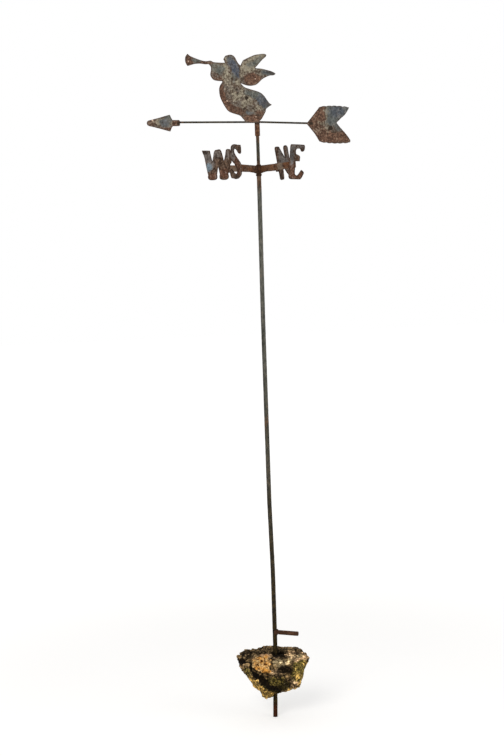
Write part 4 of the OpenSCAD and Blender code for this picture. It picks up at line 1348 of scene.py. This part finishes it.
@dataclass
class MasonryLump:
    """The piece of old wall on the foot: lime mortar with grit, a brick end and hollows left by stones.

    The rings give the share of the height, the reach to the right, left, back and front as shares of half
    the width or depth, and the share of the height by which the front edge drops. The stones are layers of
    how many there are, how wide the cracks between them are and how far they stand out. The hollows have
    their middle x, y and z, three half sizes and a depth, in millimetres. view_slope is how much a point
    seems to rise for each unit that it is farther from the camera, which looks down on the lump.
    """

    width: float = mm(236)
    depth: float = mm(150)
    height: float = mm(150)
    base: float = mm(66)
    turn: float = math.radians(-15)
    lean: float = math.atan2(7.46, 238.5)
    rings: tuple[tuple[float, ...], ...] = (
        (0.03, 0.0, 0.0, 0.0, 0.0, 0.0),
        (0.0, 0.12, 0.36, 0.22, 0.12, 0.0),
        (0.11, 0.3, 0.44, 0.42, 0.36, 0.0),
        (0.23, 0.67, 0.62, 0.62, 0.6, 0.0),
        (0.48, 0.77, 0.82, 0.8, 0.86, 0.02),
        (0.67, 0.83, 0.95, 0.94, 0.98, 0.06),
        (0.84, 0.935, 1.04, 1.0, 0.86, 0.12),
        (0.95, 0.77, 0.85, 0.85, 0.42, 0.03),
        (0.97, 0.0, 0.0, 0.0, 0.0, 0.0),
    )
    smooth_face: Patch = Patch(Coat.MOSS, 80, 149, 28, 34, -20, 1.0)
    view_slope: float = 0.287
    ball_cuts: int = 8
    ball_kept: float = 0.45
    stones: tuple[tuple[int, float, float], ...] = ((300, mm(3.6), mm(4.2)), (2400, mm(1.9), mm(2.6)))
    hollows: tuple[tuple[float, ...], ...] = (
        (4, 2, 144, 20, 18, 20, 18), (24, -4, 140, 24, 10, 12, 8), (30, -46, 96, 26, 24, 18, 9),
        (-39, -43, 117, 36, 34, 34, 8), (-32, -66, 72, 36, 26, 18, 15), (0, -20, 14, 16, 22, 18, 8),
        (-84, -30, 100, 14, 22, 16, 7), (44, -52, 60, 12, 20, 22, 6),
    )
    seed: int = 7

    def to_frame(self, co: np.ndarray) -> np.ndarray:
        """Turn points of the lump's own frame to the object's, about the leaning foot."""
        c, s = math.cos(self.turn), math.sin(self.turn)
        x, y, z = co[:, 0] * c - co[:, 1] * s, co[:, 0] * s + co[:, 1] * c, co[:, 2] + self.base
        cl, sl = math.cos(self.lean), math.sin(self.lean)
        return np.stack([x * cl + z * sl, y, -x * sl + z * cl], 1)

    def shell(self, unit: np.ndarray) -> np.ndarray:
        """Carry directions from a ball's middle to the lump's broad shape, in its own frame.

        Args:
            unit: unit vectors.

        Returns:
            A point on the lump for each.
        """
        rings = np.array(self.rings)
        steps = np.hypot(np.diff(rings[:, 0]) * self.height, np.diff(rings[:, 2]) * self.width / 2)
        knots = np.concatenate([[0], np.cumsum(steps)]) / steps.sum()
        place = np.arccos(np.clip(-unit[:, 2], -1, 1)) / math.pi
        level, right, left, back, front, drop = (np.interp(place, knots, rings[:, i]) for i in range(6))
        around = np.arctan2(unit[:, 1], unit[:, 0])
        c, s = np.cos(around), np.sin(around)
        crag = 1 + np.abs(s) * (0.07 * np.sin(3 * around + np.radians(260) * level + 0.7)
                                + 0.05 * np.sin(7 * around + np.radians(410) * level))
        x = c * np.where(c > 0, right, left) * self.width / 2 * crag
        y = s * np.where(s > 0, back, front) * self.depth / 2 * crag
        # the right side rises at the foot, and the left side and a back corner rise at the top
        foot, top = np.maximum(0, 1 - 4 * level), np.maximum(0, level - 0.7)
        corner = np.maximum(0, np.cos(around - math.radians(54))) ** 3
        lift = 0.09 * np.maximum(0, c) * foot + 0.12 * np.maximum(0, -c) * top + 0.26 * corner * top
        wave = 0.03 * np.abs(s) * np.sin(4 * around + math.radians(30)) * (right > 0)
        z = (level + wave - drop * np.maximum(0, -s) + lift) * self.height
        # a lug hangs down at the left of the foot
        z -= mm(5) * np.exp(-(((x + mm(42)) / mm(16)) ** 2)) * np.clip(1 - 7 * level, 0, 1)
        return np.stack([x, y, z], 1)

    def seen(self, own: np.ndarray) -> tuple[np.ndarray, np.ndarray]:
        """Where the camera sees points of the lump: X and the height over the foot, in millimetres."""
        return own[:, 0] * 1000, (own[:, 2] + self.base + self.view_slope * own[:, 1]) * 1000

    def weather(self) -> Weather:
        """Tones of the lump's front, placed from the foot as the camera sees it, a little from above."""
        return Weather(
            {Coat.LIME: 0.04, Coat.PINK: 0.16, Coat.DIRT: 0.1,
             Coat.MOSS: 0.2, Coat.LICHEN: 0.08, Coat.SOOT: 0.12},
            (
                # the dark back of the rim, and painted shade in the hole round the post
                *spots(
                    soot=((-4, 216, 46, 13, 0, 1), (-80, 206, 36, 14, 14, 0.85),
                          (-114, 180, 14, 10, 0, 0.9), (68, 219, 34, 6, -8, 0.8),
                          (-50, 196, 30, 8, 0, 0.5)),
                    dirt=((-80, 209, 26, 6, 14, 0.5), (14, 203, 16, 9, -10, 0.9), (2, 205, 12, 14, 0, 1.3)),
                    pink=((-31, 214, 14, 6, 0, 0.3),),
                ),
                # the crumbly top and its pale front ridge on the right
                *spots(
                    pink=((68, 200, 38, 15, -6, 0.9), (60, 181, 42, 4, 4, 0.7), (-88, 200, 20, 8, 16, 0.4)),
                    lime=((66, 200, 30, 9, 0, 0.45), (92, 196, 14, 8, -20, 0.2)),
                    soot=((110, 184, 10, 12, 0, 1.1),),
                    dirt=((113, 183, 11, 10, 0, 0.95),),
                ),
                # pale stones beside the brick
                *spots(
                    lime=((14, 173, 20, 13, -8, 1.2), (38, 181, 17, 9, 0, 1)),
                    pink=((-18, 196, 34, 10, 0, 0.9), (2, 144, 18, 9, 0, 0.9)),
                    # painted shade in a hollow below the pale stones
                    dirt=((35, 155, 22, 12, -10, 0.54), (18, 150, 14, 7, 0, 0.4), (46, 134, 8, 14, 0, 0.4)),
                ),
                # painted shadow along the crack from the left tip round the brick, which sits in a recess
                *spots(
                    dirt=((-98, 179, 28, 4, -18, 1.1), (-116, 179, 11, 10, 0, 1.1),
                          (-76, 160, 5, 14, 12, 0.9), (-64, 134, 6, 14, 40, 0.9),
                          (-44, 124, 26, 9, -28, 0.95), (-34, 106, 20, 8, -34, 0.7),
                          (-12, 95, 18, 7, -20, 0.8)),
                ),
                # left body and slope
                *spots(
                    soot=((-97, 158, 15, 16, 0, 0.55),),
                    moss=((-90, 146, 12, 14, 30, 0.5), (-84, 128, 10, 16, 40, 0.4)),
                    pink=((-98, 168, 10, 10, 0, 0.2), (-84, 142, 12, 4, -40, 0.5),
                          (-104, 164, 8, 12, 0, 0.3), (-20, 66, 12, 8, 0, 0.4)),
                    lichen=((-70, 108, 14, 28, 40, 1.1), (-47, 83, 14, 24, 45, 1.1),
                            (-26, 67, 20, 13, 20, 1.1)),
                ),
                # mossy middle
                *spots(
                    moss=((-2, 104, 42, 22, 0, 0.9),),
                    dirt=((4, 92, 26, 14, 0, 0.5), (50, 106, 4, 18, -10, 0.3), (4, 66, 12, 9, 0, 0.9)),
                ),
                # the smooth olive face and the gravel below it on the right
                *spots(
                    lichen=((82, 150, 28, 34, -20, 0.2), (68, 129, 14, 14, -20, 0.22),
                            (98, 172, 14, 6, 10, 0.3), (86, 104, 13, 16, 0, 0.6), (50, 77, 38, 12, 14, 1)),
                    moss=((83, 150, 26, 32, -20, 1.3), (66, 132, 14, 16, 0, 0.4)),
                    pink=((68, 108, 22, 20, -20, 0.75), (42, 83, 20, 10, 0, 1.15)),
                    lime=((60, 112, 8, 14, -20, 0.35),),
                    soot=((26, 72, 14, 8, 0, 0.3),),
                ),
            ),
            5.0, 83.0,
        )

    def coats(self, own: np.ndarray, co: np.ndarray) -> dict[str, np.ndarray]:
        """The coats at points of the lump, on its front from the patches and elsewhere from noise."""
        level = own[:, 2] / self.height
        front = np.clip((mm(30) - own[:, 1] + mm(50) * (level > 0.9)) / mm(30), 0, 1)
        return self.weather().amounts(*self.seen(own), co, front)

    def packed_stones(self, own: np.ndarray) -> tuple[np.ndarray, np.ndarray, np.ndarray]:
        """Lay stones in layers over the lump, each with its own tone and height and a crack round it.

        Args:
            own: the lump's points.

        Returns:
            Each point's tone about zero, its share of a crack, and how far it rises.
        """
        rng = np.random.default_rng(self.seed)
        tone, gap, rise = np.zeros(len(own)), np.zeros(len(own)), np.zeros(len(own))
        for count, width, high in self.stones:
            picks = rng.choice(len(own), count, replace=False)
            seeds = KDTree(count)
            for number, index in enumerate(picks):
                seeds.insert(own[index], number)
            seeds.balance()
            shade, lift = rng.random(count), rng.random(count)
            near = [seeds.find_n(point, 2) for point in own]
            first = np.array([n[0][1] for n in near])
            crack = 1 - np.clip(np.array([n[1][2] - n[0][2] for n in near]) / width, 0, 1)
            tone = tone + 0.72 * (shade[first] - 0.5) * (1 - crack)
            # painted shade in the crack round each stone, deeper round lower stones
            gap = np.maximum(gap, crack * (1.2 - lift[first]))
            rise = rise + high * ((lift[first] - 0.5) * (1 - crack) - 0.6 * crack)
        return tone, gap, rise

    def mortar(self, finish: bpy.types.Material) -> None:
        """Model the broken mortar from a fine ball: broad shape, hollows, stones and grit."""
        deselect()
        bpy.ops.mesh.primitive_ico_sphere_add(subdivisions=self.ball_cuts, radius=1)
        piece = bpy.context.object
        piece.name = piece.data.name = "mortar_lump"
        apply_modifier(piece, "DECIMATE", ratio=self.ball_kept)
        unit = points(piece)
        unit /= np.linalg.norm(unit, axis=1)[:, None]
        own = self.shell(unit)
        move_points(piece, own)
        out = normals(piece)
        tone, gap, rise = self.packed_stones(own)
        face = self.smooth_face.cover(*self.seen(own)) * (own[:, 1] < 0)
        crumbs = mm(2.0) * grain(own, mm(11), 3, 6) + mm(0.6) * grain(own, mm(3.4), 2, 7)
        rise, crumbs, tone = rise * (1 - 0.7 * face), crumbs * (1 - 0.6 * face), tone * (1 - 0.6 * face)
        bumps = rise + crumbs + mm(3.0) * grain(own, mm(34), 3, 5)
        # painted light and shade: raised grit and crumbs lighter, sunk ones darker, over the stones' own
        # tones
        tone = tone + 0.36 * np.clip((rise + crumbs) / mm(2.4), -1, 1) + 0.34 * face
        hollow = np.zeros(len(own))
        for x, y, z, rx, ry, rz, deep in self.hollows:
            far = np.sqrt(((own * 1000 - [x, y, z]) ** 2 / np.square([rx, ry, rz])).sum(1))
            dip = np.clip(1.25 - far, 0, 1)
            bumps -= mm(deep) * dip * dip * (3 - 2 * dip)
            hollow = np.maximum(hollow, dip)
        own = own + out * bumps[:, None]
        co = self.to_frame(own)
        move_points(piece, co)
        smooth(piece)
        coats = self.coats(own, co)
        # painted shade in cracks, sunk places and hollows, less on the smooth face and under lime and lichen
        sunk = np.clip(-(rise + crumbs) / mm(3) - 0.3, 0, 1)
        kept = 1 - np.maximum(0.75 * face, 0.5 * np.maximum(coats["lime"], coats["lichen"]))
        carry(piece, **coats, grain=0.5 + tone, gap=(0.62 * gap + 0.4 * sunk) * kept + 0.12 * hollow)
        dress(piece, "mast", "mortar", finish, "masonry_lump")

    def build(self, mortar: bpy.types.Material, brick: bpy.types.Material) -> None:
        """Model the lump.

        Args:
            mortar: finish of the mortar and grit.
            brick: finish of the brick end.
        """
        self.mortar(mortar)
        BrickEnd(self).build(brick)


@dataclass
class BrickEnd:
    """The brick end that is bedded in the lump's front, with its broken face up and towards the camera.

    wider, lower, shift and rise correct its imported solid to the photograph: how much wider and lower it
    gets as shares of its size, and how far it moves right and up. slant moves its lower part to the right.
    """

    bed: MasonryLump
    middle: tuple[float, ...] = mm(-39, -43, 117)
    face_angle: float = math.radians(46)
    radius: float = mm(34)
    wider: float = 0.12
    lower: float = 0.1
    slant: float = 0.42
    shift: float = mm(1)
    rise: float = mm(7)
    pit_depth: float = mm(4.2)
    dome: float = mm(9)

    def direction(self, own: Sequence[float]) -> np.ndarray:
        """Turn a direction of the lump's own frame to the object's."""
        return (self.bed.to_frame(np.array([own])) - self.bed.to_frame(np.zeros((1, 3))))[0]

    def build(self, finish: bpy.types.Material) -> None:
        """Model the brick end: worn round, pitted and chipped at its rim."""
        piece = worn("brick_fragment", "brick_end", mm(1.2), mm(1.6), mm(14), 91.0)
        co, out = points(piece), normals(piece)
        facing = self.direction([0.0, -math.cos(self.face_angle), math.sin(self.face_angle)])
        sideways = self.direction([1.0, 0, 0])
        middle = self.bed.to_frame(np.array([self.middle]))[0]
        slant = self.slant * np.clip(middle[2] - co[:, 2], 0, 1)
        co = co + (((co - middle) @ sideways) * self.wider + self.shift + slant)[:, None] * sideways
        co[:, 2] += self.rise - self.lower * (co[:, 2] - middle[2])
        middle = middle + [self.shift, 0, self.rise]
        flat = (co - middle) - ((co - middle) @ facing)[:, None] * facing
        far = np.linalg.norm(flat, axis=1) / self.radius
        creases = np.clip(0.2 - np.abs(grain(co, mm(15), 2, 97)), 0, 1) * 1.6
        pits = 0.6 * np.clip(grain(co, mm(7), 3, 95), 0, 1) + creases
        dome = self.dome * np.clip(far - 0.45, 0, 1) ** 2
        move_points(piece, co - out * (self.pit_depth * pits)[:, None] - facing * dome[:, None])
        smooth(piece)
        right, up = (co - middle) @ sideways, co[:, 2] - middle[2]
        burnt = np.exp(-(((right + mm(4)) / mm(13)) ** 2) - ((up - mm(2)) / mm(9)) ** 2)
        carry(
            piece,
            rim=np.clip((far - 1.0) / 0.4, 0, 1) + 0.8 * np.clip(up / mm(20) - 0.2, 0, 1),
            # the pit mask: darker in the dents and the burnt middle, and painted shade on the left of the
            # face, beside the recess
            pit=0.05 + pits * 1.5 + 0.3 * burnt + 0.1 * np.clip(-right / mm(24) - 0.3, 0, 1),
            # painted shade: darker where the surface turns away from the broken face, into the recess
            dirt=np.clip(0.75 - (out @ facing) * 1.4, 0, 1) * 0.9,
        )
        dress(piece, "mast", "brick", finish, "brick_fragment")


@dataclass
class Studio:
    """A pale floor, soft light and the camera where the photographer stood.

    The camera looks heading to the right of straight back and is turned by pan, pitch and roll from there.
    Each lamp has its name, place, size and power. The floor's glow grows from the first to the second
    amount between the two distances from the foot.
    """

    place: tuple[float, float, float] = (-1.08038, -4.05689, 1.4)
    heading: float = math.radians(15)
    pan: float = math.radians(-0.598)
    pitch: float = math.radians(-4.133)
    roll: float = math.radians(2.006)
    lens: float = 63.286
    lamps: tuple[tuple[str, tuple[float, float, float], float, float], ...] = (
        ("key", (-2.6, -3.4, 3.4), 2.4, 110), ("fill", (3.0, -2.6, 1.6), 2.6, 35),
    )
    aim: tuple[float, float, float] = (0, 0, 1.2)
    room: str = "#fbfcff"
    room_light: float = 0.62
    floor_tone: str = "#dedcd8"
    floor_size: float = 60.0
    floor_drop: float = mm(0.3)
    glow: tuple[float, float] = (0.40, 0.62)
    glow_reach: tuple[float, float] = (0.8, 3.2)

    def camera(self) -> None:
        """Set the camera up from its place, heading, pan, pitch and roll."""
        forward = Vector((math.sin(self.heading), math.cos(self.heading), 0))
        right = Vector((math.cos(self.heading), -math.sin(self.heading), 0))
        up = Vector((0, 0, 1))
        ahead = math.cos(self.pan) * forward + math.sin(self.pan) * right
        side = -math.sin(self.pan) * forward + math.cos(self.pan) * right
        view = math.cos(self.pitch) * ahead + math.sin(self.pitch) * up
        head = -math.sin(self.pitch) * ahead + math.cos(self.pitch) * up
        x_axis = math.cos(self.roll) * side - math.sin(self.roll) * head
        y_axis = math.sin(self.roll) * side + math.cos(self.roll) * head
        data = bpy.data.cameras.new("camera")
        data.sensor_fit = "AUTO"
        data.sensor_width = 36
        data.lens = self.lens
        data.clip_end = 50
        camera = bpy.data.objects.new("camera", data)
        turn = Matrix((x_axis, y_axis, -view)).transposed().to_4x4()
        camera.matrix_world = Matrix.Translation(self.place) @ turn
        bpy.context.scene.collection.objects.link(camera)
        bpy.context.scene.camera = camera

    def lamp(self, name: str, place: tuple[float, float, float], size: float, power: float) -> None:
        """Hang one soft square lamp that looks at the middle of the object."""
        data = bpy.data.lights.new(name, "AREA")
        data.shape = "SQUARE"
        data.size = size
        data.energy = power
        lamp = bpy.data.objects.new(name, data)
        aim = Vector(self.aim) - Vector(place)
        lamp.rotation_euler = aim.to_track_quat("-Z", "Y").to_euler()
        lamp.location = place
        bpy.context.scene.collection.objects.link(lamp)

    def rays(self, tree: bpy.types.NodeTree, *kinds: str) -> bpy.types.NodeSocket:
        """1 for light rays of any of the kinds, for instance the camera's own, and 0 for the others."""
        path = add_node(tree, "ShaderNodeLightPath")
        seen = path.outputs[kinds[0]]
        for kind in kinds[1:]:
            either = add_node(tree, "ShaderNodeMath", {0: seen, 1: path.outputs[kind]}, operation="MAXIMUM")
            seen = either.outputs[0]
        return seen

    def world(self) -> None:
        """Even pale light, and plain white where the camera or a reflection looks past the object."""
        world = bpy.data.worlds.new("soft_room")
        bpy.context.scene.world = world
        world.use_nodes = True
        tree = world.node_tree
        tree.nodes.clear()
        seen = self.rays(tree, "Is Camera Ray", "Is Glossy Ray", "Is Transmission Ray")
        pale = {"Color": linear(self.room), "Strength": self.room_light}
        room = add_node(tree, "ShaderNodeBackground", pale)
        white = add_node(tree, "ShaderNodeBackground", {"Color": (1, 1, 1, 1), "Strength": 1.0})
        both = add_node(tree, "ShaderNodeMixShader", {0: seen, 1: room.outputs[0], 2: white.outputs[0]})
        add_node(tree, "ShaderNodeOutputWorld", {0: both.outputs[0]})

    def floor(self) -> None:
        """A wide pale floor at the foot's end, which keeps the soft shadow and fades to white far off."""
        deselect()
        bpy.ops.mesh.primitive_plane_add(size=self.floor_size)
        floor = bpy.context.object
        floor.name = "studio_floor"
        floor.location.z = -self.floor_drop
        material = bpy.data.materials.new("pale_matt_floor")
        material.use_nodes = True
        tree = material.node_tree
        tree.nodes.clear()
        seen = self.rays(tree, "Is Camera Ray", "Is Glossy Ray")
        place = add_node(tree, "ShaderNodeTexCoord")
        far = add_node(tree, "ShaderNodeVectorMath", {0: place.outputs["Object"]}, operation="LENGTH")
        (near_by, far_off), (low, high) = self.glow_reach, self.glow
        fade = {"Value": far.outputs["Value"], "From Min": near_by, "From Max": far_off}
        fade |= {"To Min": low, "To Max": high}
        lift = add_node(tree, "ShaderNodeMapRange", fade, interpolation_type="SMOOTHSTEP")
        matt = add_node(tree, "ShaderNodeBsdfDiffuse", {"Color": linear(self.floor_tone)})
        glow = add_node(tree, "ShaderNodeEmission", {"Color": (1, 1, 1, 1), "Strength": lift.outputs[0]})
        lifted = add_node(tree, "ShaderNodeAddShader", {0: matt.outputs[0], 1: glow.outputs[0]})
        both = add_node(tree, "ShaderNodeMixShader", {0: seen, 1: matt.outputs[0], 2: lifted.outputs[0]})
        add_node(tree, "ShaderNodeOutputMaterial", {0: both.outputs[0]})
        floor.data.materials.append(material)

    def build(self) -> None:
        """Set up the floor, the world, the lamps and the camera."""
        self.camera()
        self.world()
        self.floor()
        for lamp in self.lamps:
            self.lamp(*lamp)
        bpy.context.scene.view_settings.view_transform = "Standard"


def main() -> None:
    """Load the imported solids, model and dress every piece, and set the studio up."""
    form = "%(relativeCreated)d ms %(name)s %(message)s"
    logging.basicConfig(level=logging.INFO, format=form, stream=sys.stdout)
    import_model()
    deselect()
    paint, sheet, bar = PeelingPaint().material(), LetterPaint().material(), WeatheredBar().material()
    rust, mortar, brick = BrownRust().material(), LimeMortar().material(), BrokenBrick().material()
    Studio().build()
    Mast().build(bar, rust)
    AnchorPeg().build(rust)
    CompassCross().build(rust, sheet)
    Arrow().build(bar, rust, paint)
    Angel().build(paint)
    MasonryLump().build(mortar, brick)


if __name__ == "__main__":
    main()
